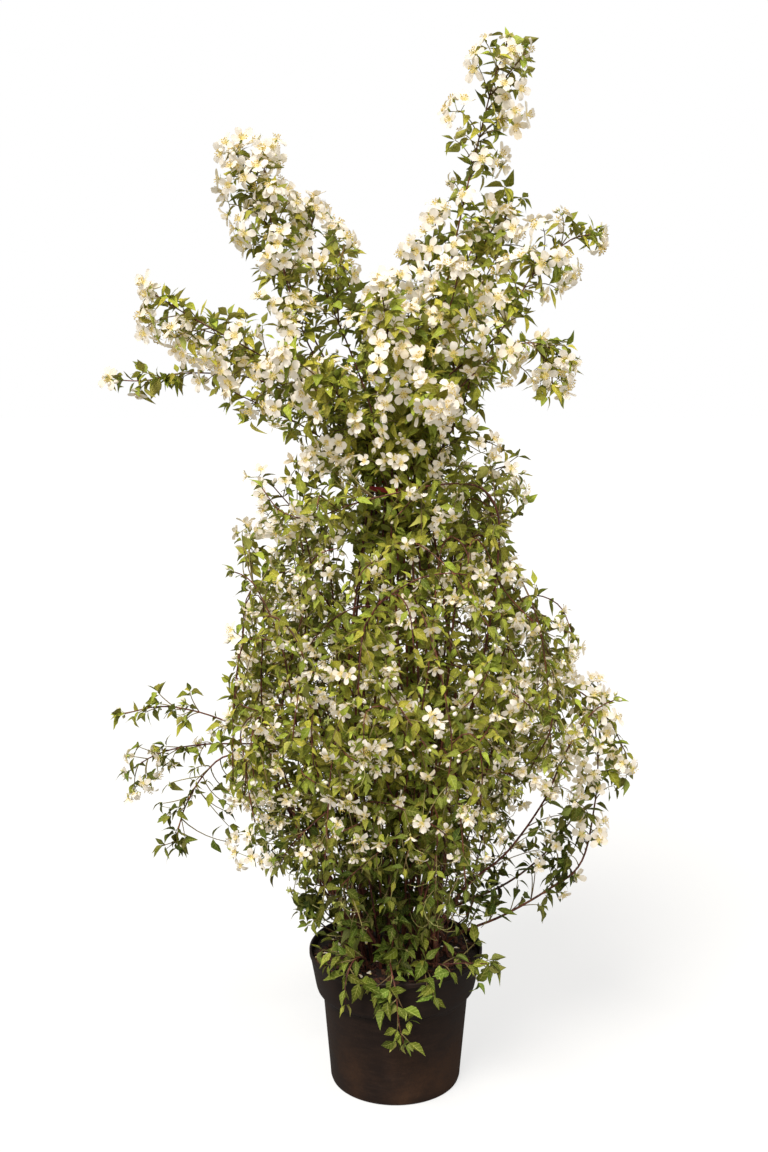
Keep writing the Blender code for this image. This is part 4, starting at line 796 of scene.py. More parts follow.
# sprays that give the plant its outline: where each ends in millimetres, its blooms, its pairs of leaves
sprays = (
    (112, -20, 1970, 4, 1), (126, 20, 1930, 1, 2), (213, -30, 2005, 3, 0), (205, 30, 1993, 2, 0),
    (224, -20, 1958, 3, 1), (199, 20, 1956, 1, 1), (145, -20, 2056, 2, 1), (166, 10, 2095, 1, 1),
    (241, -10, 2084, 1, 1), (205, 0, 2097, 0, 1), (182, -40, 2060, 0, 1), (163, -30, 1880, 2, 2),
    (193, 30, 1883, 2, 1), (111, 20, 1840, 1, 2), (125, -20, 1811, 1, 2), (187, -20, 1934, 0, 2),
    (109, -10, 1917, 0, 2), (161, 0, 1856, 0, 2), (76, -20, 1785, 3, 2), (53, -30, 1726, 4, 2), (14, 20, 1710, 1, 2),
    (142, 30, 1744, 2, 2), (110, -40, 1724, 1, 2), (216, 10, 2045, 0, 1), (199, 30, 1768, 3, 2),
    (208, 40, 1834, 0, 3), (242, 50, 1814, 0, 2), (181, 50, 1804, 0, 2), (275, -40, 1757, 4, 2),
    (307, -70, 1777, 1, 2), (334, -50, 1755, 0, 2), (362, -50, 1741, 0, 2), (305, -80, 1693, 3, 2),
    (325, -30, 1667, 3, 1), (299, -60, 1645, 1, 1), (250, -60, 1693, 3, 2), (266, -20, 1700, 0, 2),
    (205, -30, 1685, 2, 2), (221, -70, 1654, 0, 3), (248, -30, 1641, 0, 2), (217, -60, 1613, 0, 3),
    (241, -50, 1595, 0, 2), (214, -120, 1529, 3, 2), (230, -100, 1546, 0, 2), (278, -90, 1546, 0, 2),
    (314, -120, 1540, 0, 2), (317, -130, 1508, 2, 2), (308, -100, 1476, 3, 2), (250, -120, 1481, 1, 2),
    (267, -120, 1466, 0, 2), (278, -130, 1448, 0, 2), (174, -100, 1517, 3, 2), (-302, -30, 1898, 4, 2),
    (-287, 30, 1883, 1, 2), (-245, -20, 1906, 4, 2), (-236, 30, 1887, 3, 1), (-317, -20, 1848, 4, 2),
    (-320, 20, 1801, 2, 1), (-264, -50, 1851, 2, 2), (-241, -40, 1828, 3, 2), (-215, 20, 1827, 3, 1),
    (-197, -20, 1807, 2, 2), (-216, 40, 1797, 2, 1), (-176, 30, 1798, 3, 2), (-151, 50, 1791, 4, 2),
    (-291, -20, 1748, 5, 2), (-278, 30, 1725, 2, 2), (-253, -30, 1792, 1, 2), (-227, -40, 1737, 3, 1),
    (-196, 40, 1768, 3, 2), (-186, 30, 1732, 3, 2), (-100, 60, 1742, 4, 2), (-94, 30, 1678, 2, 3),
    (-143, 20, 1682, 2, 2), (-129, 50, 1657, 1, 2), (-229, -20, 1693, 2, 2), (-186, 20, 1693, 3, 2),
    (-212, -40, 1611, 3, 2), (-253, -50, 1628, 1, 2), (-254, 0, 1871, 0, 3), (-290, 30, 1819, 0, 3),
    (-244, -20, 1711, 0, 2), (-468, -50, 1635, 4, 2), (-474, -60, 1571, 3, 2), (-458, -30, 1564, 2, 1),
    (-427, -60, 1630, 0, 3), (-403, -40, 1615, 0, 2), (-420, -60, 1552, 3, 1), (-399, -40, 1566, 3, 2),
    (-390, -50, 1589, 1, 2), (-407, -30, 1537, 3, 1), (-386, -50, 1514, 4, 1), (-360, -60, 1514, 3, 2),
    (-334, -40, 1509, 3, 2), (-310, -60, 1526, 3, 2), (-290, -70, 1560, 3, 2), (-320, -50, 1478, 4, 2),
    (-367, -40, 1468, 2, 2), (-339, -50, 1457, 0, 2), (-282, -80, 1422, 2, 2), (-228, -100, 1418, 4, 2),
    (-249, -80, 1489, 3, 2), (-202, -60, 1571, 2, 2), (-197, -90, 1512, 2, 2), (-176, -110, 1443, 3, 2),
    (-319, -50, 1593, 0, 2), (-285, -60, 1586, 0, 2), (-254, -60, 1576, 0, 2), (-279, -70, 1398, 0, 2),
    (-202, -100, 1382, 0, 3), (-570, 100, 1461, 1, 2), (-509, 100, 1477, 0, 3), (-489, 110, 1456, 0, 3),
    (-513, 90, 1442, 1, 2), (-453, 100, 1465, 0, 2), (-430, 110, 1464, 0, 2), (-31, -100, 1655, 2, 2),
    (-39, -140, 1630, 2, 1), (-17, -180, 1618, 3, 2), (-46, -120, 1602, 1, 3), (-13, -200, 1587, 2, 1),
    (14, -220, 1579, 1, 2), (-83, -120, 1588, 1, 2), (-35, -220, 1561, 1, 2), (-24, -240, 1536, 2, 1),
    (14, -220, 1528, 2, 2), (-22, -260, 1502, 3, 2), (-95, -200, 1498, 1, 2), (61, -100, 1624, 2, 2),
    (64, -140, 1598, 2, 1), (89, -160, 1589, 2, 2), (72, -200, 1528, 1, 2), (41, -220, 1506, 3, 2),
    (82, -180, 1456, 2, 2), (16, -200, 1462, 1, 2), (106, -140, 1438, 1, 2), (-15, -180, 1440, 1, 2),
    (-17, -180, 1407, 2, 2), (40, -180, 1418, 1, 2), (68, -160, 1410, 1, 2), (-22, -150, 1372, 1, 2),
    (11, -150, 1372, 1, 2), (75, -140, 1373, 1, 2), (34, -150, 1357, 1, 2), (-9, -160, 1336, 1, 2),
    (-47, -130, 1329, 3, 1), (10, -150, 1309, 2, 2), (149, -60, 1638, 3, 2), (171, -60, 1567, 3, 2),
    (146, -80, 1519, 2, 2), (184, -50, 1351, 3, 2), (-123, -80, 1349, 2, 2), (-166, -60, 1330, 2, 1),
    (81, -50, 1678, 1, 3), (-269, -30, 1283, 3, 1), (-198, -20, 1295, 0, 2), (-158, -40, 1284, 0, 3),
    (-177, -60, 1252, 0, 3), (-128, -60, 1271, 0, 3), (-250, -40, 1210, 2, 2), (-261, -50, 1245, 2, 1),
    (-300, -50, 1180, 2, 1), (-282, -60, 1154, 3, 2), (-271, -40, 1146, 0, 3), (-215, -80, 1197, 3, 1),
    (-185, -100, 1190, 0, 3), (-136, -120, 1174, 3, 1), (-245, -80, 1108, 0, 3), (-276, -60, 1074, 2, 2),
    (-127, -100, 1244, 0, 3), (-98, -120, 1223, 0, 2), (210, -40, 1337, 0, 2), (234, -50, 1326, 0, 1),
    (179, -80, 1313, 0, 3), (216, -50, 1293, 2, 2), (233, -60, 1268, 3, 1), (208, -80, 1265, 0, 3),
    (236, -50, 1245, 0, 2), (252, -40, 1233, 0, 1), (235, -60, 1213, 0, 1), (201, -50, 1211, 0, 2),
    (140, -80, 1307, 0, 3), (174, -80, 1197, 0, 2), (129, -100, 1344, 0, 2), (307, -150, 1023, 3, 1),
    (282, -150, 1025, 0, 3), (302, -150, 992, 0, 1), (254, -140, 1062, 0, 2), (225, -140, 1116, 2, 2),
    (265, -120, 1087, 0, 1), (208, -120, 1057, 0, 3), (220, -100, 1029, 0, 2), (253, -160, 1018, 2, 1),
    (344, -100, 950, 3, 1), (326, -120, 935, 2, 2), (386, -50, 865, 3, 2), (356, -50, 838, 0, 3),
    (409, -30, 826, 0, 2), (321, -100, 853, 0, 3), (406, -30, 799, 0, 3), (426, -30, 786, 2, 1),
    (425, -20, 746, 0, 2), (459, -20, 697, 3, 1), (468, -20, 665, 0, 2), (429, -30, 685, 0, 4), (442, -20, 648, 0, 2),
    (391, -50, 671, 2, 2), (355, -80, 744, 1, 2), (319, -140, 733, 2, 2), (303, -120, 654, 2, 2),
    (358, -80, 629, 0, 3), (326, -100, 615, 0, 3), (373, -50, 565, 2, 2), (409, -30, 553, 3, 1),
    (297, -100, 588, 2, 1), (324, -50, 526, 1, 2), (352, -40, 507, 0, 2), (328, -20, 449, 0, 3), (368, 0, 445, 1, 1),
    (340, -20, 416, 1, 1), (299, -20, 389, 0, 2), (284, -40, 492, 2, 1), (265, -30, 507, 0, 1),
    (243, -120, 716, 0, 3), (252, -120, 767, 2, 2), (231, -120, 858, 0, 3), (203, -120, 736, 2, 1),
    (-547, -50, 811, 0, 1), (-521, -50, 805, 0, 1), (-499, -50, 813, 0, 2), (-474, -50, 855, 0, 2),
    (-469, -60, 833, 0, 2), (-486, -40, 819, 0, 1), (-441, -50, 817, 0, 2), (-410, -50, 855, 0, 2),
    (-419, -50, 797, 0, 2), (-530, 50, 708, 0, 1), (-551, 50, 689, 1, 1), (-478, 50, 710, 0, 2),
    (-478, 50, 686, 4, 1), (-500, 60, 698, 1, 1), (-464, 50, 676, 0, 2), (-517, 50, 647, 0, 2), (-543, 50, 619, 4, 1),
    (-516, 50, 628, 2, 0), (-556, 50, 654, 1, 1), (-434, 50, 702, 0, 1), (-406, 50, 691, 0, 2), (-494, 50, 654, 1, 1),
    (-463, -100, 640, 0, 1), (-433, -100, 630, 0, 2), (-454, -100, 615, 0, 2), (-441, -100, 577, 0, 3),
    (-465, -100, 552, 0, 2), (-436, -100, 546, 0, 3), (-421, -100, 567, 0, 1), (-413, -100, 657, 0, 1),
    (-448, -100, 682, 0, 1), (-396, -100, 688, 0, 1), (-332, -30, 870, 0, 2), (-320, -40, 844, 0, 3),
    (-311, -50, 813, 0, 3), (-300, -50, 859, 0, 2), (-362, -50, 774, 1, 2), (-351, -60, 754, 0, 3),
    (-328, -50, 786, 2, 2), (-327, -70, 730, 0, 2), (-315, -80, 702, 2, 1), (-329, -60, 677, 0, 2),
    (-343, -50, 650, 1, 1), (-333, -70, 625, 1, 3), (-348, -60, 611, 0, 1), (-312, -80, 650, 2, 2),
    (-339, -40, 569, 0, 1), (-341, -50, 539, 3, 1), (-319, -60, 558, 2, 1), (-303, -70, 513, 3, 1),
    (-254, -80, 512, 3, 1), (-284, -70, 540, 0, 3), (-228, -80, 508, 0, 2), (-309, -50, 920, 1, 2),
    (-320, -50, 961, 1, 2), (-292, -50, 1022, 0, 3), (-148, -140, 346, 0, 2), (-127, -100, 349, 0, 2),
    (-118, -150, 340, 0, 3), (-135, -160, 323, 0, 2), (-102, -160, 323, 0, 2), (-101, -180, 309, 0, 2),
    (-84, -120, 336, 0, 2), (-103, -80, 394, 0, 3), (-89, -100, 370, 0, 2), (-67, -190, 295, 0, 2),
    (-42, -190, 289, 0, 2), (-12, -200, 290, 0, 2), (-16, -200, 268, 0, 2), (-24, -205, 250, 0, 1),
    (13, -210, 256, 0, 1), (25, -205, 228, 0, 1), (2, -205, 207, 0, 1), (0, -200, 180, 0, 1), (26, -200, 178, 0, 1),
    (8, -150, 312, 0, 2), (28, -140, 314, 0, 1), (58, -150, 329, 0, 2), (61, -190, 293, 0, 2), (74, -200, 275, 0, 2),
    (118, -140, 331, 0, 2), (107, -160, 308, 0, 1), (151, -160, 321, 0, 2), (162, -180, 297, 0, 1),
    (188, -140, 324, 0, 2), (182, -150, 312, 0, 2), (39, -80, 387, 0, 3), (65, -90, 377, 0, 2), (49, -100, 360, 0, 2),
    (-26, -120, 336, 0, 2), (-12, -130, 330, 0, 1), (90, -60, 385, 0, 2), (-124, -60, 407, 0, 2),
    (-160, -40, 376, 0, 3), (-176, -40, 420, 0, 3), (-62, -100, 424, 0, 2), (-32, -100, 403, 0, 3),
    (8, -100, 435, 0, 3), (142, -50, 402, 0, 3), (173, -40, 420, 0, 2), (204, -40, 391, 0, 3), (160, -100, 342, 0, 1),
    (-162, -60, 1339, 3, 1), (-138, -80, 1364, 2, 2), (-111, -100, 1340, 3, 1), (-153, -60, 1304, 2, 2),
    (-121, -100, 1294, 0, 3), (-96, -120, 1318, 3, 1), (-84, -120, 1286, 2, 2), (-187, -40, 1313, 2, 2),
    (-105, -120, 1363, 1, 2), (-132, -100, 1325, 0, 2), (-20, -20, 1652, 3, 1), (9, 20, 1659, 2, 2),
    (37, -40, 1652, 3, 1), (64, -20, 1641, 2, 2), (-35, -20, 1622, 1, 2), (-46, -100, 1550, 1, 3),
    (5, -160, 1531, 2, 2), (51, -160, 1531, 0, 3), (80, -120, 1542, 1, 2), (402, -50, 859, 3, 1),
    (425, -40, 790, 3, 1), (416, -40, 748, 2, 2), (462, -30, 694, 3, 0), (437, -40, 727, 1, 2), (364, -50, 707, 3, 1),
    (393, -40, 646, 2, 2), (415, -30, 559, 3, 0), (318, -140, 954, 3, 1), (399, -50, 826, 1, 2),
    (384, -40, 668, 1, 3), (329, -60, 674, 2, 2), (359, -40, 625, 1, 2), (378, -50, 770, 2, 1), (334, -40, 582, 0, 2),
    (304, -120, 879, 2, 1), (191, -60, 1310, 2, 2), (215, -60, 1266, 2, 1), (159, -80, 1338, 2, 1),
    (121, -20, 1650, 2, 1), (172, -30, 1622, 3, 1), (190, -50, 1622, 1, 2), (83, -80, 1303, 2, 2),
    (99, -80, 1280, 0, 3), (114, -80, 1261, 2, 2), (75, -100, 1256, 0, 3), (128, -60, 1285, 2, 2),
    (92, -100, 1321, 3, 1), (142, -60, 1242, 0, 3), (101, -120, 1242, 0, 3), (-92, -100, 1302, 2, 2),
    (-77, -100, 1271, 0, 3), (-286, -40, 1170, 2, 2), (-261, -50, 1186, 2, 2), (-234, -60, 1164, 2, 2),
    (-270, -50, 1138, 0, 3), (-214, -60, 1183, 3, 1), (-285, -30, 1142, 2, 1), (-322, -30, 973, 1, 2),
    (-198, -20, 374, 0, 2), (-170, -40, 398, 0, 3), (-180, -60, 363, 0, 1), (75, -100, 1237, 0, 2),
    (97, -120, 1228, 0, 2), (117, -120, 1209, 0, 2), (87, -110, 1207, 1, 2), (64, -90, 1220, 0, 2),
    (126, -80, 1230, 1, 2), (107, -60, 1242, 0, 2), (-48, -100, 424, 0, 2), (12, -100, 403, 0, 2),
    (-8, -90, 452, 0, 2), (48, -100, 435, 0, 2), (-80, -120, 390, 0, 2), (32, -130, 373, 0, 2), (170, -20, 389, 0, 2),
    (188, 0, 414, 0, 2), (202, -40, 405, 0, 2), (160, -60, 378, 0, 2), (219, 20, 419, 0, 2), (121, -80, 487, 0, 2),
    (-184, -40, 398, 0, 2), (-169, -60, 374, 0, 2), (-159, -50, 426, 0, 2), (113, -100, 469, 0, 2),
    (216, 0, 484, 0, 2), (243, -20, 514, 0, 2), (276, -20, 475, 0, 2), (254, 0, 436, 0, 2), (294, -40, 518, 0, 2),
    (315, -30, 475, 0, 3), (339, -20, 444, 0, 2), (229, -40, 544, 0, 2), (280, -50, 556, 0, 2), (320, -40, 544, 1, 2),
    (210, 20, 450, 0, 2), (309, -20, 416, 0, 2), (267, 0, 396, 0, 1), (185, -30, 488, 0, 2), (348, -40, 492, 0, 2),
)

# on these canes most of the flowers come from the sprays above
drawn = {"bloomChance": 0.26, "coreBloom": 0.10, "twigChance": 0.50, "twig": (0.020, 0.050)}
drawnCanes = {k: drawn for k in (0, 2, 3, 4, 5, 6)}
drawnCanes[7] = {**drawn, "bloomChance": 0.10, "twigChance": 0.25}
airy = {"leafyAfter": 0.34, "spacing": 0.052, "leaf": (0.018, 0.030), "twigChance": 0.22, "twig": (0.02, 0.05),
        "bloomChance": 0.1, "coreBloom": 0.1}
bareFeet = {24: 0.36, 25: 0.52, 26: 0.30, 19: 0.30, 20: 0.30}     # canes that show their red wood low down
bareTips = {1: 0.10, 7: 0.20}
fewTipBlooms = {0: 1, 2: 1, 3: 1}
freeSkirts = 3      # the first skirt canes may reach past the rest of the foliage
sprayLook = {"lean": 0.6, "least": 0.024, "bow": 0.16, "crown": (0.030, 0.044), "skirt": (0.027, 0.042),
             "low": (0.032, 0.048), "radii": (0.0014, 0.0009), "endLeaf": 0.026, "aboveTie": 0.07,
             "tieCost": 0.2, "crownFrom": 1330, "lowUpTo": 400, "outer": 330}

runs = []       # stems and twigs: points, radii, how woody each is
leaves = {"crown": [], "skirt": [], "inner": [], "foot": [], "low": []}
blooms = []
buds = []
spent = []      # calyces that have dropped their petals
look = random.Random(907)       # for what only the eye sees: shade, curl, the choice of shape


def reachAt(height, angle, rightSide="right"):
    # radius of the foliage at a height and compass angle
    left = -np.interp(height, reach["heights"], reach["left"])
    right = np.interp(height, reach["heights"], reach[rightSide])
    side = right if math.cos(angle) > 0 else left
    deep = min(reach["deepest"], reach["deepShare"] * (left + right))
    return (abs(math.cos(angle) / side) ** 3 + abs(math.sin(angle) / deep) ** 3) ** (-1 / 3)


def depthIn(place):
    # 1 at the surface of the skirt, 0 at its axis
    return math.hypot(place[0], place[1]) / reachAt(place[2], math.atan2(place[1], place[0]))


def withinReach(place, spare=0.0, free=False):
    low, high = reach["box"]
    if not all(a - spare <= c <= b + spare for a, c, b in zip(low, place, high)):
        return False
    if free or place[2] > reach["heights"][-1]:
        return True
    return math.hypot(place[0], place[1]) < reachAt(place[2], math.atan2(place[1], place[0])) + spare


def frameFrom(along, face):
    # a turn whose Y runs along a blade and whose Z is its upper side
    across = unit(np.cross(along, face))
    up = np.cross(across, along)
    return Matrix((across, along, up)).transposed().to_euler()


def facingTurn(facing, spin):
    a = beside(facing, spin)
    return Matrix((a, np.cross(facing, a), facing)).transposed().to_euler()


def looseVector(most):
    return np.array([look.uniform(-most, most) for _ in range(3)])


def addRun(points, radii, wood):
    runs.append({"points": points, "radii": radii, "wood": wood})


def addStalk(start, end, radius):
    addRun(np.array([start, end]), [radius] * 2, 0.0)


def repeatItem(place, turn, size, kind, dim=0.0, young=0.0, draws=look):
    return {"place": place, "turn": turn, "size": size, "kind": kind, "shade": min(1.1, draws.random() - dim),
            "young": young}


leafLook = {"loose": 0.65, "lift": 0.0012, "innerFrom": 0.55, "crownCore": 0.2, "lowYoung": 0.35,
            "stretch": (0.75, 1.15)}


def addLeaf(kind, centre, blade, face, length, young, wanted=False):
    chance = look.random()
    if kind == "skirt" and not wanted:
        if chance < growth["innerThin"] and depthIn(centre) < growth["thinInside"]:
            return
        if abs(centre[0]) > growth["footGap"] and chance > np.interp(centre[2], *growth["footThin"]):
            return
        if depthIn(centre) < growth["inside"] and centre[2] > leafLook["innerFrom"]:
            kind = "inner"
    face = unit(face + looseVector(leafLook["loose"]))
    # painted shade: leaves low on the skirt and inside it are darkened by height, standing in for the shade under the
    # plant
    dim = np.interp(centre[2], *growth["footPaintedShade"]) if kind in ("skirt", "inner") else 0.0
    # painted light: crown leaves are lightened the farther they stand from the core, where the light falls on the
    # outside
    if kind == "crown":
        dim = -growth["crownPaintedLight"] * min(1.0, math.hypot(centre[0], centre[1]) / leafLook["crownCore"])
    if kind == "skirt" and look.random() < np.interp(centre[2], *growth["footGreen"]):
        kind = "foot"
    young *= leafLook["lowYoung"] if kind == "low" else 1 - max(0, dim)
    leaves[kind].append(repeatItem(centre + blade * leafLook["lift"], frameFrom(blade, face), length,
                                   look.randrange(growth["leafKinds"]), dim, young))


def addPair(kind, pair, young, wanted=False):
    for blade in pair["blades"]:
        if wanted or look.random() > growth["bareShare"]:
            length = pair["length"] * look.uniform(*leafLook["stretch"])
            addLeaf(kind, pair["centre"], blade, pair["face"], length, young, wanted)


def tooLow(place):
    # nothing flowers at the foot of the skirt, least of all in front
    return place[2] < growth["bloomFloor"] - 0.4 * min(0, place[1] + 0.1)


def addBloom(bloom, hanging, wanted=False):
    # the calyx sits on a short stalk that leaves the twig
    facing, centre, start = bloom["facing"], bloom["centre"], bloom["start"]
    if hanging and not wanted:
        if look.random() < bloomSize["hidden"] and depthIn(centre) < bloomSize["hiddenInside"] or tooLow(centre):
            return
    foot = centre - facing * bloomSize["calyx"] * bloom["size"] * 0.9
    if np.linalg.norm(foot - start) > bloomSize["leastStalk"]:
        addStalk(start, foot, bloomSize["stalk"])
    inCore = centre[2] < bloomSize["coreTop"] and math.hypot(centre[0], centre[1]) < bloomSize["coreRadius"]
    part = bloomSize["skirt"] if hanging else bloomSize["core"] if inCore else 1.0
    blooms.append(repeatItem(centre, facingTurn(facing, look.uniform(0, math.tau)),
                             bloomSize["radius"] * bloom["size"] * part,
                             look.choice((1, 3, 5, 6, 4, 2) if hanging else (0, 1, 2, 3, 4, 6))))


tipLook = {"buds": {"lean": (0.4, 1.2), "stalk": (0.008, 0.014), "size": (0.0034, 0.0056), "kinds": 2},
           "spent": {"lean": (0.3, 1.0), "stalk": (0.010, 0.016), "size": (0.017, 0.023), "kinds": 3},
           "radius": 0.0007, "curl": (0.030, 0.075), "curlTurn": 2.2}


def addTips(items, tip, aim, count, lean, stalk, size, kinds):
    for _ in range(count):
        way = unit(beside(aim, look.uniform(0, math.tau)) + aim * look.uniform(*lean))
        place = tip + way * look.uniform(*stalk)
        addStalk(tip, place, tipLook["radius"])
        items.append(repeatItem(place, facingTurn(way, look.uniform(0, math.tau)), look.uniform(*size),
                                look.randrange(kinds)))


def addBuds(tip, aim, count):
    if not tooLow(tip):
        addTips(buds, tip, aim, count, **tipLook["buds"])


def addCurl(tip, aim):
    # a thin bare stalk that twists away, left by a fallen flower
    bend = beside(aim, look.uniform(0, math.tau))
    length = look.uniform(*tipLook["curl"])
    ways = np.linspace(0, 1, 5)[:, None] * tipLook["curlTurn"]
    turned = aim * np.sin(ways) * 0.5 + bend * (1 - np.cos(ways)) * 0.5
    addRun(tip + turned * length, [tipLook["radius"]] * 5, 0.0)


twigLook = {"radii": (0.0013, 0.0008), "edge": -0.025, "endLeaf": 0.024, "crownWood": 0.45,
            "curlShare": 0.80, "curlFrom": 0.50}


def addTwig(kind, twig, habit, free):
    spine = twig["spine"]
    if not withinReach(spine[-1], twigLook["edge"] if kind == "skirt" and not free else 0.0, free):
        return
    wood = twigLook["crownWood"] if kind == "crown" else 0.25 + 0.5 * look.random()
    addRun(spine, np.linspace(*twigLook["radii"], len(spine)), wood)
    for pair in twig["pairs"]:
        addPair(kind, pair, 0.25 + 0.45 * look.random())
    aim = unit(spine[-1] - spine[-2])
    for bloom in twig["blooms"]:
        addBloom(bloom, kind != "crown")
    if twig["blooms"]:
        if look.random() < habit["buds"]:
            addBuds(spine[-1], aim, look.choice((1, 2)))
        return
    for _ in range(2):
        way = unit(aim + beside(aim, look.uniform(0, math.tau)) * 0.5)
        addLeaf(kind, spine[-1], way, skyward, twigLook["endLeaf"] * look.uniform(0.7, 1.3), 0.9)
    ending = look.random()
    if ending < habit["buds"] * 0.5:
        addBuds(spine[-1], aim, look.choice((1, 2, 3)))
    elif ending < habit["buds"] * 1.3:
        addTips(spent, spine[-1], aim, look.choice((1, 2, 3)), **tipLook["spent"])
    if look.random() < twigLook["curlShare"] and kind == "skirt" and depthIn(spine[-1]) > twigLook["curlFrom"]:
        addCurl(spine[-2], aim)


def sprayRoot(end, kind):
    # the place on the nearest cane that a spray may leave, the cane's direction there and how far away it is
    away = end - canePoints
    length = np.linalg.norm(away, axis=1)
    cost = length - sprayLook["lean"] * (away * caneAhead).sum(1) + np.where(length < sprayLook["least"], 0.05, 0)
    rise = canePoints[:, 2] - tieSize["height"]
    wrongSide = rise < sprayLook["aboveTie"] if kind == "crown" else rise > 0
    cost += np.where(wrongSide, sprayLook["tieCost"], 0)
    return (a[cost.argmin()] for a in (canePoints, caneAhead, length))


def drawSpray(x, y, z, bloomCount, pairCount):
    # a twig that leaves the nearest cane, leaning forwards, and ends at a chosen place
    end = np.array([x, y, z]) / 1000
    kind = "crown" if z > sprayLook["crownFrom"] else "low" if z < sprayLook["lowUpTo"] else "skirt"
    root, ahead, length = sprayRoot(end, kind)
    middle = (root + end) / 2 + (ahead + [0, 0, 0.4]) * sprayLook["bow"] * length
    middle += looseVector(0.08) * length
    ways = np.linspace(0, 1, 6)[:, None]
    spine = root * (1 - ways) ** 2 + 2 * middle * ways * (1 - ways) + end * ways ** 2
    addRun(spine, np.linspace(*sprayLook["radii"], len(spine)), look.uniform(0.3, 0.7))
    aim = unit(spine[-1] - spine[-2])
    turn = look.uniform(0, math.tau)
    for k in range(pairCount):
        place = (0.99 if bloomCount == 0 else 0.72) - 0.30 * k / max(1.0, 0.03 / length * 2)
        centre = np.array([np.interp(max(place, 0.1), ways[:, 0], spine[:, j]) for j in range(3)])
        pair = leafPair(centre, aim, beside(aim, turn), look.uniform(*sprayLook[kind]), 0.35, look)
        addPair(kind, pair, look.uniform(0.1, 0.6), True)
        turn += math.pi / 2 + look.uniform(-0.4, 0.4)
    if bloomCount == 0:
        way = unit(aim + beside(aim, look.uniform(0, math.tau)) * 0.4)
        addLeaf(kind, end, way, skyward, sprayLook["endLeaf"], 0.6, True)
        return
    aside = np.array([look.uniform(-0.8, 0.8), -0.3, look.uniform(-0.6, 0.5)])
    facing = unit(aim * 0.6 + unit(end - root) * 0.3 + aside)
    hanging = kind != "crown" and x < sprayLook["outer"]
    scale = 0.9 if x > sprayLook["outer"] else 1.0
    start = look.uniform(0, math.tau)
    for k in range(bloomCount):
        aside = beside(facing, start + k * bloomSize["turn"])
        spread = 0.0
        if bloomCount > 1:
            spread = bloomSize["radius"] * look.uniform(0.55, 1.0) * math.sqrt(bloomCount) * 0.62
        way = unit(facing + aside * look.uniform(0.3, 1.1))
        addBloom({"centre": end + aside * spread + facing * 0.006, "start": end - aim * 0.008 * (k // 2),
                  "facing": way, "size": look.uniform(0.86, 1.14) * scale}, hanging, True)
    if look.random() < 0.35:
        addBuds(end, aim, 2)


def dressRoute(cane, group, joints, rng):
    # leaf pairs and twigs along a cane, thinned out inside the bundle and bare at the tie
    for joint in joints:
        height = joint["centre"][2]
        under = cane["kind"] == "crown" and height < tieSize["height"]
        deep = under and height < growth["deepBelow"]
        atTie = cane["kind"] == "crown" and abs(height - tieSize["height"]) < growth["tieGap"]
        if atTie or deep and rng.random() < growth["deepBare"]:
            continue
        place = "skirt" if under else group
        addPair(place, joint["pair"], 0.1 + 0.35 * look.random())
        for twig in joint["twigs"]:
            if not deep or rng.random() < growth["deepTwigs"]:
                addTwig(place, twig, cane["habit"], cane["free"])


def dressTip(cane, group, number):
    # a plume of blooms, or a last pair of leaves
    tip, ahead = cane["route"][-1], unit(cane["route"][-1] - cane["route"][-2])
    if cane["plume"]:
        for k in range(cane["tipBlooms"]):
            way = unit(ahead + beside(ahead, k * 2.1) * (0.9 if k else 0.0))
            addBloom({"centre": tip + way * 0.010, "start": tip, "facing": way, "size": 1.0}, False)
    if cane["tipBlooms"] < 2 or not cane["plume"]:
        for spin in (0.0, math.pi):
            way = unit(beside(ahead, spin + number) * 0.7 + ahead)
            addLeaf(group, tip, way, skyward, 0.030, 0.7, True)
        if cane["kind"] != "low":
            addBuds(tip, ahead, 2)


def dressFork(cane, group, rng):
    fork = np.array(cane["fork"])
    fork[0] = cane["route"][np.linalg.norm(cane["route"] - fork[0], axis=1).argmin()]
    for joint in growCane(smoothRoute(fork, 0.02), {**cane["habit"], "leafyAfter": 0.0}, rng, 0.0):
        addPair(group, joint["pair"], 0.6)
        for twig in joint["twigs"]:
            addTwig(group, twig, cane["habit"], cane["free"])
    points = smoothRoute(fork, 0.014)
    addRun(points, np.linspace(0.0020, 0.0011, len(points)), 0.85)


def dressCane(given, number):
    cane = {"free": False, "bareTip": 0.0, "thick": 1.0, "tipBlooms": 4, **given}
    cane["habit"] = {**habits[cane["kind"]], **cane.get("habit", {})}
    group = "skirt" if cane["kind"] == "inner" else cane["kind"]
    rng = random.Random(growth["seed"] * 1000 + number)
    dressRoute(cane, group, growCane(cane["route"], cane["habit"], rng, cane["bareTip"]), rng)
    points = smoothRoute(cane["route"], 0.017)
    foot = caneSize["foot"] * growth["stemScale"] * cane["thick"]
    addRun(points, np.linspace(foot, caneSize["dressedTip"], len(points)), 1.0)
    dressTip(cane, group, number)
    if cane["fork"]:
        dressFork(cane, group, rng)


def youngCane(kind, points, step, thick, habit):
    return {"kind": kind, "route": smoothRoute(points, step), "plume": 0, "fork": None, "thick": thick, "habit": habit}


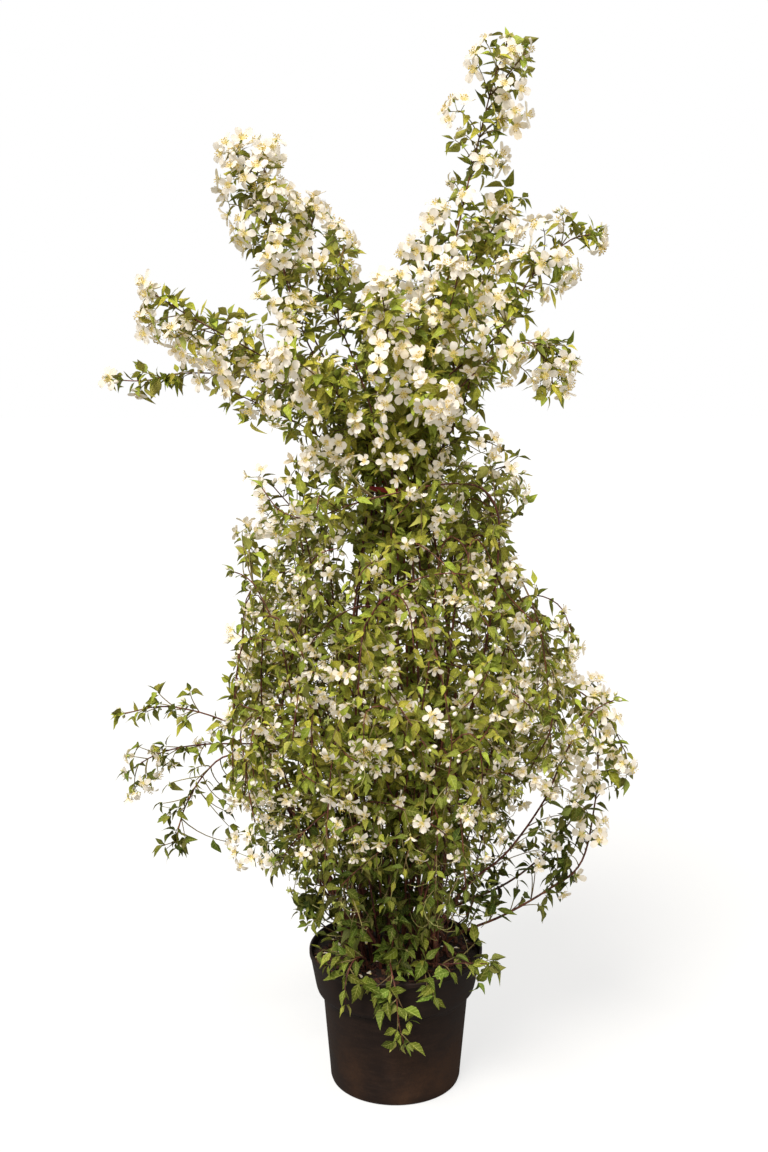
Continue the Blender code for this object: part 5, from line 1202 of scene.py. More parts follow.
def innerShoots():
    # thin young canes inside the bundle, too fine for the solid model
    shoots = []
    for group in thinShoots:
        rng = random.Random(group["seed"])
        for _ in range(group["count"]):
            foot = np.array(rotate(1, 0, rng.uniform(0, math.tau))) * caneSize["feet"]
            foot *= math.sqrt(rng.uniform(*group["spread"]))
            height = rng.uniform(*group["height"])
            lean = rng.uniform(0.9, 1.9)
            ground = soilHeight(*foot)
            top = foot * lean + np.array([rng.uniform(-0.04, 0.04), rng.uniform(-0.04, 0.04)])
            middle = foot * (0.5 + 0.5 * lean) * 1.05
            bow = np.array([rng.uniform(-0.02, 0.02), rng.uniform(-0.02, 0.02)])
            points = [(*foot, ground - 0.03), (*foot, ground + 0.012), (*(middle + bow), (ground + height) / 2),
                      (*top, height), (*(top * 1.12), height + 0.05)]
            shoots.append(youngCane("inner", points, 0.025, 0.5, group["habit"]))
    return shoots


sideLook = {"hostsFrom": 0.95, "length": (0.15, 0.34), "rise": (0.2, 1.3), "drop": (0.5, 1.4), "turn": 0.9,
            # heights between which the branches leave their canes, in turn
            "bands": ((0.92, 1.21), (0.42, 0.70), (0.60, 0.95), (0.88, 1.18))}


def sideShoots():
    # branches that leave the taller canes, rise outwards and nod over, each its own way
    rng = random.Random(growth["sideSeed"])
    hosts = [cane["route"] for cane in canes if cane["route"][:, 2].max() > sideLook["hostsFrom"]]
    shoots = []
    for k in range(growth["sideShoots"]):
        host = rng.choice(hosts)
        low, high = sideLook["bands"][k % 4]
        start = host[rng.choice(list(np.nonzero((host[:, 2] > low) & (host[:, 2] < high))[0]))]
        angle = math.atan2(start[1], start[0]) + rng.uniform(-1.0, 1.0)
        length = rng.uniform(*sideLook["length"])
        rise, drop = rng.uniform(*sideLook["rise"]), rng.uniform(*sideLook["drop"])
        turn = rng.uniform(-sideLook["turn"], sideLook["turn"])
        points = [tuple(start)]
        for part in (0.2, 0.45, 0.7, 0.88, 1.0):
            way = angle + turn * part
            x, y = start[:2] + np.array([math.cos(way), math.sin(way)]) * length * part
            z = min(start[2] + length * (rise * part - drop * part * part), 1.31 + 0.02 * part)
            shrink = min(1.0, 0.95 * reachAt(z, math.atan2(y, x), "rightFan") / math.hypot(x, y))
            points.append((x * shrink, y * shrink, z))
        shoots.append(youngCane("skirt", points, 0.020, 0.42, {"leafyAfter": 0.03, "twig": (0.025, 0.075)}))
    return shoots


fanLook = {"share": (0.45, 0.92), "swing": 0.95, "feet": (0.07, 0.115), "riseFrom": 0.42,
           "parts": (0.42, 0.70, 0.92, 1.0), "nod": ((0.035, 0.012), (0.065, -0.035), (0.080, -0.10))}


def fanShoots():
    # side canes that fill the skirt out to its reach all round, rising and then nodding
    rng = random.Random(growth["fanSeed"])
    shoots = []
    for k in range(growth["fanShoots"]):
        angle = k * math.tau * goldenShare + rng.uniform(-0.15, 0.15)
        share = rng.uniform(*fanLook["share"])
        low, high = growth["fanHeight"]
        height = low + (high - low) * rng.random() ** 0.75
        swing = rng.uniform(-fanLook["swing"], fanLook["swing"])
        start = np.array(rotate(1, 0, angle)) * rng.uniform(*fanLook["feet"])
        ground = soilHeight(*start)
        points = [(*start, ground - 0.03), (*start, ground + 0.012)]
        for step, (part, z) in enumerate(zip(fanLook["parts"], np.linspace(fanLook["riseFrom"], height, 4))):
            way = angle + swing * step / 3
            radius = 0.10 * (1 - part) + share * part * reachAt(z, way, "rightFan") + rng.uniform(-0.03, 0.02)
            points.append((*rotate(radius, 0, way), z))
        nod = angle + swing * 1.2
        tip = share * reachAt(height, nod, "rightFan")
        for out, drop in fanLook["nod"]:
            radius = min(tip + out, reachAt(height + drop, nod, "rightFan") * 0.94)
            points.append((*rotate(radius, 0, nod), height + drop))
        shoots.append(youngCane("skirt", points, 0.025, 0.62, {"leafyAfter": 0.27}))
    return shoots


def crownShoots():
    # lesser sprays that thicken the crown between the main ones
    return [{**youngCane("crown", [(x, y, z - 0.10), (x, y, z), *rest], 0.02, 0.62, {"leafyAfter": 0.11}),
             "plume": 1, "tipBlooms": 3} for (x, y, z), *rest in crownSprays]


for number, cane in enumerate(canes):
    cane["route"][:uprightPoints(cane), :2] = cane["foot"]
    cane["free"] = len(crownCanes) <= number < len(crownCanes) + freeSkirts
    cane["bareTip"] = bareTips.get(number, 0.0)
    cane["thick"] = 0.6 if cane["kind"] == "low" else 1.0
    if cane["free"]:
        cane["habit"] = airy
    if number in bareFeet:
        cane["habit"] = {"leafyAfter": bareFeet[number]}
    if number in drawnCanes:
        cane["habit"] = drawnCanes[number]
    cane["tipBlooms"] = fewTipBlooms.get(number, 4)
for number, cane in enumerate(canes + innerShoots() + fanShoots() + sideShoots() + crownShoots()):
    dressCane(cane, number)
canePoints = np.vstack([cane["route"][2:] for cane in canes])
caneAhead = np.vstack([np.gradient(cane["route"], axis=0)[2:] for cane in canes])
caneAhead /= np.linalg.norm(caneAhead, axis=1, keepdims=True)
for spray in sprays:
    drawSpray(*spray)
print("grown: stems", len(runs), "leaves", {k: len(v) for k, v in leaves.items()},
      "blooms", len(blooms), "buds", len(buds), "spent", len(spent))


def joinRows(rows, closed=False):
    # a sheet or a turned body from rows of points with their places on the leaf map; a row of one point shuts it
    faces, a = [], 0
    for row, nextRow in zip(rows, rows[1:]):
        b = a + len(row)
        count = max(len(row), len(nextRow))
        for i in range(count if closed else count - 1):
            j = (i + 1) % count
            low = (a,) if len(row) == 1 else (a + i, a + j)
            high = (b,) if len(nextRow) == 1 else (b + j, b + i)
            faces.append(low + high)
        a = b
    return [tuple(point) for row in rows for point, _ in row], faces, [place for row in rows for _, place in row]


def shapeObject(name, pieces):
    # joins pieces of points, faces and map places into one object that carries its leafMap
    points, faces, places = [], [], []
    for piecePoints, pieceFaces, piecePlaces in pieces:
        faces += [tuple(len(points) + i for i in face) for face in pieceFaces]
        points += piecePoints
        places += piecePlaces
    mesh = bpy.data.meshes.new(name)
    mesh.from_pydata(points, [], faces)
    layer = mesh.uv_layers.new(name="leafMap")
    corners = np.array([places[loop.vertex_index] for loop in mesh.loops], np.float32)
    layer.data.foreach_set("uv", corners.ravel())
    mesh.polygons.foreach_set("use_smooth", [True] * len(faces))
    return bpy.data.objects.new(name, mesh)


leafShape = {
    "stations": (0.0, 0.07, 0.24, 0.42, 0.63, 0.83, 1.0),
    "widths": (0.0, 0.038, 0.190, 0.232, 0.175, 0.064, 0.0),
    "tooth": 0.014, "gap": -0.6, "toothFrom": 0.05, "ripple": 0.018,
    # curl along the blade, fold along the midrib, twist, sideways bend, breadth
    "variants": ((0.15, 0.45, 0.2, 0.06, 1.0), (0.45, 0.25, -0.4, -0.10, 0.85), (-0.15, 0.55, 0.3, 0.12, 1.1),
                 (0.85, 0.35, 0.7, 0.03, 0.9), (0.25, 0.15, -0.9, -0.08, 0.75), (0.60, 0.75, 0.1, -0.03, 1.05),
                 (1.15, 0.50, -0.5, 0.10, 0.95), (0.35, 0.95, 0.9, -0.12, 0.9))}


def leafPieces(curl, fold, twist, sway, broad, across):
    rows = []
    for k, (t, width) in enumerate(zip(leafShape["stations"], leafShape["widths"])):
        w = width * broad
        spine = np.array([sway * t * t, t * (1 - 0.10 * abs(curl) * t), -curl * t * t * 0.55])
        if w == 0.0:
            rows.append([(spine, (0.5, t))])
            continue
        row = []
        for s in across:
            toothed = abs(s) == 1.0 and w > leafShape["toothFrom"]
            reach = w + (leafShape["tooth"] * (1 if k % 2 else leafShape["gap"]) if toothed else 0)
            ripple = leafShape["ripple"] * math.sin(t * 17 + s * 2.0) * abs(s)
            x, z = rotate(s * reach, fold * abs(s) * w + ripple, twist * (t - 0.3))
            row.append((spine + np.array([x, -0.05 * abs(s) * w, z]), (0.5 + 0.5 * s, t)))
        rows.append(row)
    return joinRows(rows)


petalShape = {"stations": (0.0, 0.28, 0.60, 0.88, 1.0), "widths": (0.07, 0.20, 0.345, 0.28, 0.08),
              "length": (0.86, 1.08), "breadth": (0.88, 1.15), "notch": 0.07, "hollow": 0.16, "wave": 0.075}


def petalPieces(turn, cup, curl, seedValue, across=(-1.0, -0.4, 0.4, 1.0), breadth=1.0):
    rng = random.Random(seedValue)
    phase = rng.uniform(0, math.tau)
    length = rng.uniform(*petalShape["length"])
    broad = rng.uniform(*petalShape["breadth"]) * breadth
    rows = []
    for t, w in zip(petalShape["stations"], petalShape["widths"]):
        row = []
        for s in across:
            # rise and reach follow an arc, so that cupped petals stay as long as flat ones
            steep = (cup - curl * t) * 0.9
            radial = length * t * math.cos(steep) - (petalShape["notch"] * (1 - abs(s)) if t > 0.95 else 0.0)
            height = length * t * math.sin(steep) + petalShape["hollow"] * abs(s) * w * t
            height += petalShape["wave"] * t * math.sin(phase + s * 4.2 + t * 5.0) + rng.uniform(-0.03, 0.03) * t
            row.append(((*rotate(radial, s * w * broad, turn), height), (0.5 + 0.5 * s, t)))
        rows.append(row)
    return joinRows(rows)


bloomShapes = (     # how steeply the petals stand, how much they curl back
    (0.25, 0.20), (0.55, 0.35), (0.10, 0.55), (0.90, 0.30), (0.40, 0.05), (1.20, 0.10), (0.70, 1.00))


def bloomVariant(k, across, breadth):
    cup, curl = bloomShapes[k]
    pieces = []
    for petal in range(4):
        lift = 0.04 * (petal % 2)
        around = petal * math.pi / 2 + 0.22 * math.sin(k * 3.1 + petal * 2.3)
        stand = cup + 0.22 * math.sin(petal * 2 + k)
        points, faces, places = petalPieces(around, stand, curl, 100 * k + petal, across, breadth)
        pieces.append(([(x, y, z + lift) for x, y, z in points], faces, places))
    return shapeObject(f"petals{k}", pieces)


stamenShape = {"length": (0.30, 0.54), "anther": 0.088, "width": 0.014, "lean": (0.15, 0.95)}


def stamenVariant(k, count):
    # a tuft of flat filaments, each with a pointed anther
    rng = random.Random(500 + k)
    upright, outward = stamenShape["lean"]
    long = stamenShape["anther"]
    pieces = []
    for i in range(count):
        angle = i * math.tau * goldenShare
        lean = upright + outward * math.sqrt((i + 0.5) / count)
        way = unit(np.array([math.cos(angle) * lean, math.sin(angle) * lean, 1.0]))
        side = unit(np.cross(way, [0, 0, 1.0]))
        square = np.cross(way, side)
        tip = way * rng.uniform(*stamenShape["length"])
        wide = side * stamenShape["width"]
        pieces.append(([(0.0, 0.0, 0.0), tuple(tip + wide), tuple(tip - wide)], [(0, 1, 2)],
                       [(0.5, 0), (1, 0.6), (0, 0.6)]))
        ring = [(side * math.cos(v) + square * math.sin(v)) * long * 0.7 for v in (0, math.tau / 3, -math.tau / 3)]
        points = [tuple(tip - way * long * 0.4 + p) for p in ring] + [tuple(tip + way * long)]
        pieces.append((points, [(2, 1, 0), (3, 0, 1), (3, 1, 2), (3, 2, 0)], [(0.5, 1.0)] * 4))
    return shapeObject(f"stamens{k}", pieces)


def turnedPieces(profile, sides, place=0.5):
    # rings of a profile of (radius, height), closed where the radius is 0
    return joinRows([[((*rotate(r, 0, math.tau * i / sides), z), (0.5, place)) for i in range(sides if r else 1)]
                     for r, z in profile], closed=True)


cupShapes = {
    "calyx": {"profile": ((0, -0.42), (0.14, -0.22), (0.15, -0.04), (0, 0.02)), "turn": (math.pi / 4, 0), "sink": 0.03,
              "sepal": ((0.10, -0.09, -0.04), (0.10, 0.09, -0.04), (0.26, 0.10, -0.02), (0.26, -0.10, -0.02),
                        (0.46, 0, -0.05)), "faces": [(0, 3, 2, 1), (3, 4, 2)]},
    "budCup": {"profile": ((0, -0.55), (0.50, -0.28), (0.74, 0.35), (0, 0.2)), "turn": (0, 0.3), "sink": 0,
               "sepal": ((0.68, -0.34, 0.2), (0.68, 0.34, 0.2), (0.88, 0, 1.15)), "faces": [(0, 1, 2)]}}


def cupVariant(name, k):
    # the cup behind the petals or round a bud, with four pointed sepals
    shape = cupShapes[name]
    start, step = shape["turn"]
    pieces = [turnedPieces(shape["profile"], 4)]
    for sepal in range(4):
        turn = sepal * math.pi / 2 + start + step * k
        points = [(*rotate(x, y, turn), z - shape["sink"] * k) for x, y, z in shape["sepal"]]
        pieces.append((points, shape["faces"], [(0.5, 0.5)] * len(points)))
    return shapeObject(f"{name}{k}", pieces)


def budVariant(k):
    profile = ((0, -0.2), (0.66, 0.25), (0.84, 0.95), (0.52, 1.7), (0, 2.1))
    return shapeObject(f"bud{k}", [turnedPieces(profile, 5, place=0.7)])


def named(tree, label, kind):
    return addNode(tree, "GeometryNodeInputNamedAttribute", {"Name": label}, data_type=kind).outputs[0]


def finishTree(tree, given, result, geometry):
    real = addNode(tree, "GeometryNodeRealizeInstances", {0: geometry})
    dressed = addNode(tree, "GeometryNodeSetMaterial", {"Geometry": real.outputs[0], "Material": given["Material"]})
    feed(tree, result[0], dressed.outputs[0])
    return tree


def makeScatterTree():
    # repeats on points
    tree, given, result = newGroup(
        "scatterShapes",
        [("Points", "Geometry", None), ("Shapes", "Collection", None), ("Size", "Float", 1.0),
         ("Size spread", "Float", 0.08), ("Seed", "Int", 1), ("Material", "Material", None)],
        [("Geometry", "Geometry")], "GeometryNodeTree")
    shapes = addNode(tree, "GeometryNodeCollectionInfo",
                     {"Collection": given["Shapes"], "Separate Children": True, "Reset Children": True})
    turn = addNode(tree, "FunctionNodeEulerToRotation", {0: named(tree, "turn", "FLOAT_VECTOR")})
    spread = addNode(tree, "FunctionNodeRandomValue", {"Seed": given["Seed"]}, data_type="FLOAT")
    low, high = [s for s in spread.inputs if s.type == "VALUE" and s.enabled][:2]
    feed(tree, low, calc(tree, "SUBTRACT", 1.0, given["Size spread"]))
    feed(tree, high, calc(tree, "ADD", 1.0, given["Size spread"]))
    chance = next(s for s in spread.outputs if s.type == "VALUE" and s.enabled)
    place = addNode(tree, "GeometryNodeInstanceOnPoints", {
        "Points": given["Points"], "Instance": shapes.outputs[0], "Pick Instance": True,
        "Instance Index": named(tree, "kind", "INT"), "Rotation": turn.outputs[0],
        "Scale": times(tree, named(tree, "size", "FLOAT"), times(tree, given["Size"], chance))})
    return finishTree(tree, given, result, place.outputs[0])


def makeTubeTree():
    # tubes along lines
    tree, given, result = newGroup(
        "tubesAlongLines",
        [("Lines", "Geometry", None), ("Sides", "Int", 6), ("Thickness", "Float", 1.0),
         ("Material", "Material", None)],
        [("Geometry", "Geometry")], "GeometryNodeTree")
    lines = addNode(tree, "GeometryNodeMeshToCurve", {0: given["Lines"]})
    radius = named(tree, "thick", "FLOAT")
    width = addNode(tree, "GeometryNodeSetCurveRadius", {"Curve": lines.outputs[0], "Radius": radius})
    ring = addNode(tree, "GeometryNodeCurvePrimitiveCircle",
                   {"Resolution": given["Sides"], "Radius": given["Thickness"]}, mode="RADIUS")
    tube = addNode(tree, "GeometryNodeCurveToMesh",
                   {"Curve": width.outputs[0], "Profile Curve": ring.outputs[0], "Fill Caps": True})
    if "Scale" in tube.inputs:
        feed(tree, tube.inputs["Scale"], radius)
    return finishTree(tree, given, result, tube.outputs[0])


scatterTree = makeScatterTree()
tubeTree = makeTubeTree()


def addAttribute(mesh, name, kind, values):
    layer = mesh.attributes.new(name, kind, "POINT")
    layer.data.foreach_set("vector" if kind == "FLOAT_VECTOR" else "value", np.array(values).ravel())


def guideObject(name, mesh, tree, inputs):
    # carries the points or lines that the tree dresses, with the tree's inputs by socket identifier
    guide = intoScene(bpy.data.objects.new(name + "Guide", mesh))
    modifier = guide.modifiers.new("dress", "NODES")
    modifier.node_group = tree
    for socket in tree.interface.items_tree:
        if socket.in_out == "INPUT" and socket.name in inputs:
            modifier[socket.identifier] = inputs[socket.name]
    return guide


carried = ("shade", "young", "wood", "leafMap", "sharp_face")       # all that a finished mesh keeps


def finishPiece(name, guide, material, nodes=()):
    # the evaluated result becomes a plain mesh, and its guide goes
    mesh = evaluatedMesh(guide)
    data = guide.data
    bpy.data.objects.remove(guide)
    bpy.data.meshes.remove(data)
    for label in [a.name for a in mesh.attributes]:
        layer = mesh.attributes.get(label)
        if layer and not layer.is_required and not label.startswith(".") and label not in carried:
            mesh.attributes.remove(layer)
    giveMaterial(mesh, material)
    mesh.name = name
    settle(intoScene(bpy.data.objects.new(name, mesh)), nodes)


def settle(piece, nodes):
    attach(piece, "root")
    if nodes:
        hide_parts(*nodes)
    count = sum(len(p.vertices) - 2 for p in piece.data.polygons)
    print("piece:", piece.name, "triangles", count)


def scatter(name, items, shapes, material, sizeSpread=0.06, seedValue=1):
    mesh = bpy.data.meshes.new(name + "Points")
    mesh.from_pydata([tuple(i["place"]) for i in items], [], [])
    addAttribute(mesh, "turn", "FLOAT_VECTOR", [tuple(i["turn"]) for i in items])
    for label, kind in (("size", "FLOAT"), ("kind", "INT"), ("shade", "FLOAT"), ("young", "FLOAT")):
        addAttribute(mesh, label, kind, [i[label] for i in items])
    group = bpy.data.collections.new(name + "Shapes")
    for shape in shapes:
        group.objects.link(shape)
    guide = guideObject(name, mesh, scatterTree, {"Shapes": group, "Size spread": sizeSpread, "Seed": seedValue,
                                                  "Material": material})
    finishPiece(name, guide, material)
    for shape in shapes:
        bpy.data.objects.remove(shape)
    bpy.data.collections.remove(group)


def tubes(name, lines, sides, nodes=()):
    points, edges = [], []
    values = {"thick": [], "wood": [], "shade": []}
    for line in lines:
        start, count = len(points), len(line["points"])
        points += [tuple(p) for p in line["points"]]
        edges += [(start + i, start + i + 1) for i in range(count - 1)]
        values["thick"] += list(line["radii"])
        values["wood"] += [line["wood"]] * count
        values["shade"] += [look.random()] * count
    mesh = bpy.data.meshes.new(name + "Lines")
    mesh.from_pydata(points, edges, [])
    for label, numbers in values.items():
        addAttribute(mesh, label, "FLOAT", numbers)
    guide = guideObject(name, mesh, tubeTree, {"Sides": sides, "Material": barkMaterial})
    finishPiece(name, guide, barkMaterial, nodes)


def turnedObject(name, profile, steps):
    mesh = bpy.data.meshes.new(name)
    mesh.from_pydata([(r, 0, z) for r, z in profile], [(i, i + 1) for i in range(len(profile) - 1)], [])
    thing = intoScene(bpy.data.objects.new(name, mesh))
    screw = thing.modifiers.new("turn", "SCREW")
    screw.steps = screw.render_steps = steps
    screw.use_merge_vertices = True
    screw.merge_threshold = 0.00005
    applyModifiers(thing)
    return thing


def applyModifiers(thing):
    mesh = evaluatedMesh(thing)
    thing.modifiers.clear()
    thing.data = mesh


potForm = {"drillDepth": 0.02, "drillSides": 32, "waves": ((0.0011, 2, 0.7), (0.0007, 5, 1.9)), "sharp": 40}


def potProfile():
    p = potSize
    foot = p["height"] - p["bandDepth"]
    lip, top = p["rim"] - 0.0045, p["height"]
    inside = [(0, p["wall"]), (p["base"] - 0.008, p["wall"]), (p["base"] - 0.004, 0.0055),
              (p["base"] - p["wall"], 0.010), (p["neck"] - p["wall"], foot - 0.010),
              (p["band"] - p["wall"] - 0.005, foot + 0.001), (p["band"] - p["wall"] - 0.001, foot + 0.010),
              (lip - 0.001, top - 0.010), (lip, top - 0.0012)]
    outside = [(lip + 0.0008, top), (p["rim"] - 0.0012, top), (p["rim"], top - 0.0014), (p["rim"], top - 0.0085),
               (p["rim"] - 0.0018, top - 0.0105), (p["rim"] - 0.004, top - 0.022),
               (p["band"] + 0.0016, foot + 0.016), (p["band"], foot + 0.008), (p["band"] - 0.002, foot + 0.002),
               (p["band"] - 0.006, foot - 0.002), (p["neck"] + 0.004, foot - 0.0055),
               (p["neck"] + 0.001, foot - 0.010), (p["neck"], foot - 0.017),
               (p["base"] + 0.0006, 0.020), (p["base"] - 0.0002, 0.008), (p["base"] - 0.0022, 0.002),
               (p["base"] - 0.006, 0.0), (0, 0)]
    return inside + outside


def drillHoles(pot):
    cutters = bpy.data.collections.new("drainCutters")
    for k in range(potSize["holes"]):
        place = rotate(potSize["holeRing"], 0, math.tau * (k + 0.5) / potSize["holes"])
        drill = bmesh.new()
        bmesh.ops.create_cone(drill, segments=potForm["drillSides"], radius1=potSize["holeRadius"],
                              radius2=potSize["holeRadius"], depth=potForm["drillDepth"], cap_ends=True,
                              matrix=Matrix.Translation((*place, 0)))
        mesh = bpy.data.meshes.new("drainCutter")
        drill.to_mesh(mesh)
        drill.free()
        cutters.objects.link(bpy.data.objects.new("drainCutter", mesh))
    cut = pot.modifiers.new("holes", "BOOLEAN")
    cut.operation = "DIFFERENCE"
    cut.operand_type = "COLLECTION"
    cut.collection = cutters
    applyModifiers(pot)
    for drill in list(cutters.objects):
        bpy.data.objects.remove(drill)
    bpy.data.collections.remove(cutters)


def makePot():
    pot = turnedObject("nurseryPot", potProfile(), potSize["steps"])
    drillHoles(pot)
    # a moulded pot is never quite round: it waves most at the rim
    for vert in pot.data.vertices:
        rise = vert.co.z / potSize["height"]
        angle = math.atan2(vert.co.y, vert.co.x)
        wave = sum(depth * math.sin(count * angle + start) for depth, count, start in potForm["waves"])
        shrink = 1 + wave * rise * rise / potSize["rim"]
        vert.co.x *= shrink
        vert.co.y *= shrink
    pot.data.shade_smooth()
    pot.data.set_sharp_from_angle(angle=math.radians(potForm["sharp"]))
    giveMaterial(pot.data, potMaterial)
    settle(pot, ["pot"])


soilLook = {"rings": 44, "steps": 128, "lump": 0.0024, "grain": 60, "sink": 0.0012, "shade": 0.45, "edge": 0.0066,
            "chips": 440, "petals": 46, "rimGap": 0.012, "caneGap": 0.006, "tilt": 0.45}


def makeSoil():
    p = potSize
    foot = p["height"] - p["bandDepth"]
    edge = p["rim"] - soilLook["edge"]
    rings = [(edge * k / soilLook["rings"], soilSize["edge"]) for k in range(soilLook["rings"] + 1)]
    wall = [(p["band"] - p["wall"] - 0.0026, foot + 0.006), (p["neck"] - p["wall"] - 0.0016, foot - 0.008),
            (p["base"] - p["wall"] - 0.0016, 0.012), (p["base"] - 0.010, 0.0045), (0, 0.0045)]
    soil = turnedObject("compost", rings + wall, soilLook["steps"])
    for vert in soil.data.vertices:
        if abs(vert.co.z - soilSize["edge"]) < 1e-5:
            x, y = vert.co.x, vert.co.y
            rough = noise.fractal(Vector((x * soilLook["grain"], y * soilLook["grain"], 1.3)), 0.9, 2.1, 5)
            vert.co.z = soilHeight(x, y) + rough * soilLook["lump"] - soilLook["sink"]
    soil.data.shade_smooth()
    addAttribute(soil.data, "shade", "FLOAT", [soilLook["shade"]] * len(soil.data.vertices))
    giveMaterial(soil.data, soilMaterial)
    settle(soil, ["soil"])


chipShape = {"width": (0.35, 0.7), "thick": (0.16, 0.3), "uneven": 0.14, "bevel": 0.05, "kinds": 6}


def chipVariant(k):
    rng = random.Random(800 + k)
    block = bmesh.new()
    bmesh.ops.create_cube(block, size=1.0)
    bmesh.ops.scale(block, vec=(1.0, rng.uniform(*chipShape["width"]), rng.uniform(*chipShape["thick"])),
                    verts=block.verts)
    for vert in block.verts:
        vert.co += Vector([rng.uniform(-chipShape["uneven"], chipShape["uneven"]) for _ in range(3)]) * 0.8
    bmesh.ops.bevel(block, geom=block.edges, offset=chipShape["bevel"], segments=1, affect="EDGES")
    mesh = bpy.data.meshes.new(f"chip{k}")
    block.to_mesh(mesh)
    block.free()
    mesh.uv_layers.new(name="leafMap")
    return bpy.data.objects.new(f"chip{k}", mesh)


def scatterOnSoil(count, size, rng, kinds, lift):
    items = []
    while len(items) < count:
        r = (potSize["rim"] - soilLook["rimGap"]) * math.sqrt(rng.random())
        x, y = rotate(r, 0, rng.uniform(0, math.tau))
        if any(math.hypot(x - c["foot"][0], y - c["foot"][1]) < soilLook["caneGap"] for c in canes):
            continue
        big = rng.uniform(*size)
        tilts = [rng.uniform(-soilLook["tilt"], soilLook["tilt"]) for _ in range(2)]
        items.append(repeatItem((x, y, soilHeight(x, y) + lift * big), (*tilts, rng.uniform(0, math.tau)), big,
                                rng.randrange(kinds), draws=rng))
    return items


def makeLitter():
    rng = random.Random(311)
    chips = scatterOnSoil(soilLook["chips"], (0.006, 0.019), rng, chipShape["kinds"], 0.05)
    scatter("barkChips", chips, [chipVariant(k) for k in range(chipShape["kinds"])], chipMaterial,
            sizeSpread=0.2)
    fallen = scatterOnSoil(soilLook["petals"], (0.010, 0.017), rng, 3, 0.18)
    shapes = [shapeObject(f"fallen{k}", [petalPieces(0.0, 0.3 - 0.3 * k, 0.1 + 0.3 * k, 40 + k)]) for k in range(3)]
    scatter("fallenPetals", fallen, shapes, petalMaterial)


makePot()
makeSoil()
makeLitter()
giveMaterial(frame["nodes"]["tie"].data, tieMaterial)
print("pot, compost and tie done")

plant = {"woodFrom": 0.8, "most": 7000, "crownFrom": 1.32}
# points across a petal, its breadth, stamens in a tuft
bloomDetail = {"Crown": ((-1.0, -0.4, 0.4, 1.0), 1.0, 15), "Skirt": ((-1.0, 0.1, 1.0), 0.84, 10)}
tubes("canes", [r for r in runs if r["wood"] >= plant["woodFrom"]], 6, caneNodes)
tubes("twigs", [r for r in runs if r["wood"] < plant["woodFrom"]], 3)


def scatterInParts(name, items, material, across=(-1.0, 0.0, 1.0)):
    # no piece grows too heavy: the leaves are shared out by height
    items = sorted(items, key=lambda item: item["place"][2])
    parts = max(1, math.ceil(len(items) / plant["most"]))
    for k in range(parts):
        share = items[k * len(items) // parts:(k + 1) * len(items) // parts]
        shapes = [shapeObject(f"leaf{v}", [leafPieces(*values, across)])
                  for v, values in enumerate(leafShape["variants"])]
        scatter(name + (str(k + 1) if parts > 1 else ""), share, shapes, material, seedValue=20 + k)


def scatterBlooms():
    for place, (across, breadth, count) in bloomDetail.items():
        share = [b for b in blooms if (b["place"][2] > plant["crownFrom"]) == (place == "Crown")]
        scatter("petals" + place, share, [bloomVariant(k, across, breadth) for k in range(len(bloomShapes))],
                petalMaterial, seedValue=6)
        inner = [{**bloom, "kind": bloom["kind"] % 3} for bloom in share]
        scatter("stamens" + place, inner, [stamenVariant(k, count) for k in range(3)], stamenMaterial,
                seedValue=6)
    inner = [{**bloom, "kind": bloom["kind"] % 3} for bloom in blooms + spent]
    scatter("calyces", inner, [cupVariant("calyx", k) for k in range(3)], calyxMaterial, seedValue=6)
    scatter("buds", buds, [budVariant(k) for k in range(2)], petalMaterial, seedValue=7)
    scatter("budCups", buds, [cupVariant("budCup", k) for k in range(2)], calyxMaterial, seedValue=7)


scatterInParts("crownLeaves", leaves["crown"], leafMaterial)
scatterInParts("skirtLeaves", leaves["skirt"], leafMaterial)
scatterInParts("innerLeaves", leaves["inner"], leafMaterial, across=(-1.0, 1.0))
scatterInParts("footLeaves", leaves["foot"], freshMaterial)
scatterInParts("lowLeaves", leaves["low"], freshMaterial, across=(-1.0, -0.55, 0.0, 0.55, 1.0))
scatterBlooms()
print("plant dressed")

studio = {"backdrop": 1.0, "around": 0.44, "warmth": (1.0, 0.965, 0.90), "floor": 14, "floorShade": 0.93,
          "bounce": 0.22, "shadow": 0.30}
# direction, strength, spread in degrees
suns = {"keyLight": ((0.42, 0.80, -1.15), 3.4, 26), "sideLight": ((-0.75, 0.85, -0.45), 0.7, 50)}
cameraView = {"place": (-0.0240, -3.0, 1.692), "down": 11.53, "lens": 48.03, "sensor": 36.0}


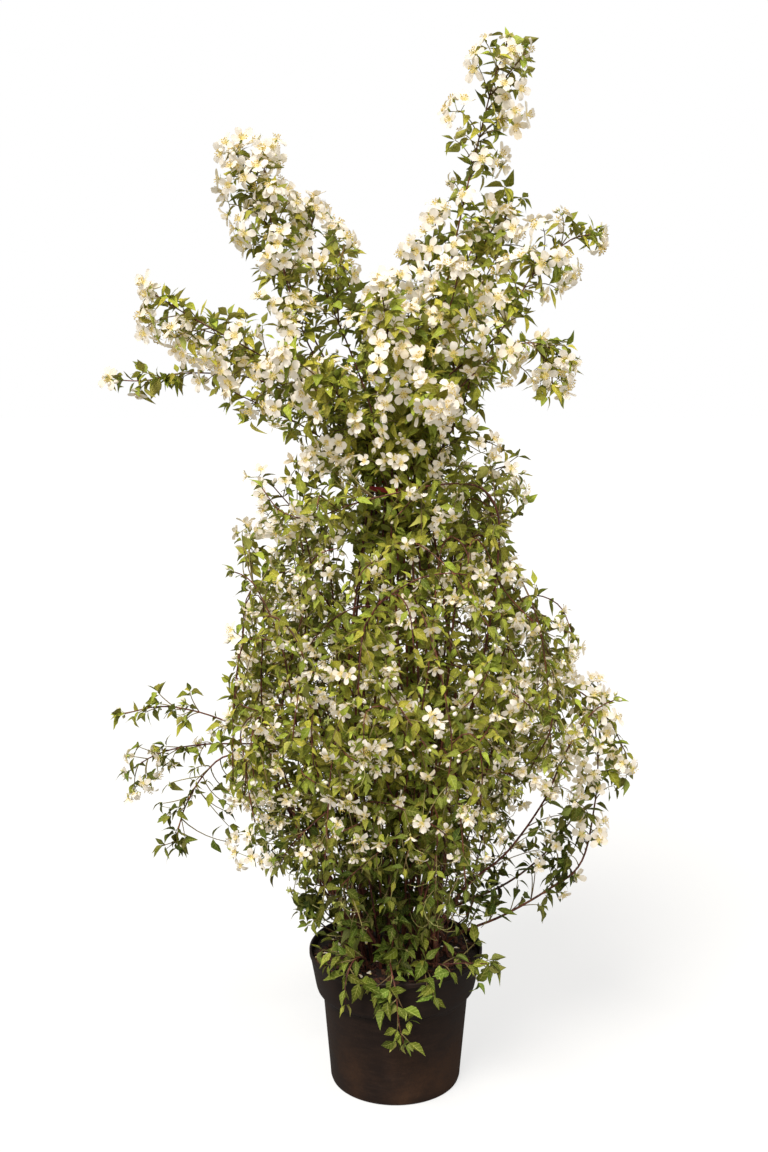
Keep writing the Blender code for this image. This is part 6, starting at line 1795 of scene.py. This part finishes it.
def makeFloor():
    mesh = bpy.data.meshes.new("studioFloor")
    far = studio["floor"]
    mesh.from_pydata([(-far, -far, 0), (far, -far, 0), (far, far, 0), (-far, far, 0)], [], [(0, 1, 2, 3)])
    floor = intoScene(bpy.data.objects.new("studioFloor", mesh))
    material, tree, shader = newMaterial("floorPale")
    paint(tree, shader, (*(studio["floorShade"],) * 3, 1), 0.9, 0.0)
    # the camera sees a floor as white as the backdrop with a faint shadow; the plant gets a mild bounce
    glow = addNode(tree, "ShaderNodeEmission").outputs[0]
    faint = mixShader(tree, studio["shadow"], glow, shader.outputs[0])
    dull = addNode(tree, "ShaderNodeBsdfDiffuse", {"Color": (*(studio["bounce"],) * 3, 1)}).outputs[0]
    feed(tree, tree.nodes["Material Output"].inputs["Surface"], mixShader(tree, seenByCamera(tree), dull, faint))
    mesh.materials.append(material)


def seenByCamera(tree):
    return addNode(tree, "ShaderNodeLightPath").outputs["Is Camera Ray"]


def makeWorld():
    world = bpy.data.worlds.new("studioWorld")
    bpy.context.scene.world = world
    world.use_nodes = True
    tree = world.node_tree
    backdrop = tree.nodes["Background"]
    backdrop.inputs["Color"].default_value = (1, 1, 1, 1)
    backdrop.inputs["Strength"].default_value = studio["backdrop"]
    soft = addNode(tree, "ShaderNodeBackground", {"Color": (*studio["warmth"], 1), "Strength": studio["around"]})
    feed(tree, tree.nodes["World Output"].inputs["Surface"],
         mixShader(tree, seenByCamera(tree), soft.outputs[0], backdrop.outputs[0]))


def makeSun(name, direction, strength, spread):
    sun = bpy.data.lights.new(name, "SUN")
    sun.energy = strength
    sun.angle = math.radians(spread)
    sun.color = studio["warmth"]
    lamp = intoScene(bpy.data.objects.new(name, sun))
    lamp.rotation_euler = Vector(direction).to_track_quat("-Z", "Y").to_euler()


def makeCamera():
    lens = bpy.data.cameras.new("photoCamera")
    lens.lens = cameraView["lens"]
    lens.sensor_width = cameraView["sensor"]
    camera = intoScene(bpy.data.objects.new("photoCamera", lens))
    camera.location = cameraView["place"]
    camera.rotation_euler = (math.radians(90 - cameraView["down"]), 0, 0)
    scene = bpy.context.scene
    scene.camera = camera
    scene.view_settings.view_transform = "Standard"
    scene.view_settings.look = "None"


makeFloor()
makeWorld()
for sunName, settings in suns.items():
    makeSun(sunName, *settings)
makeCamera()
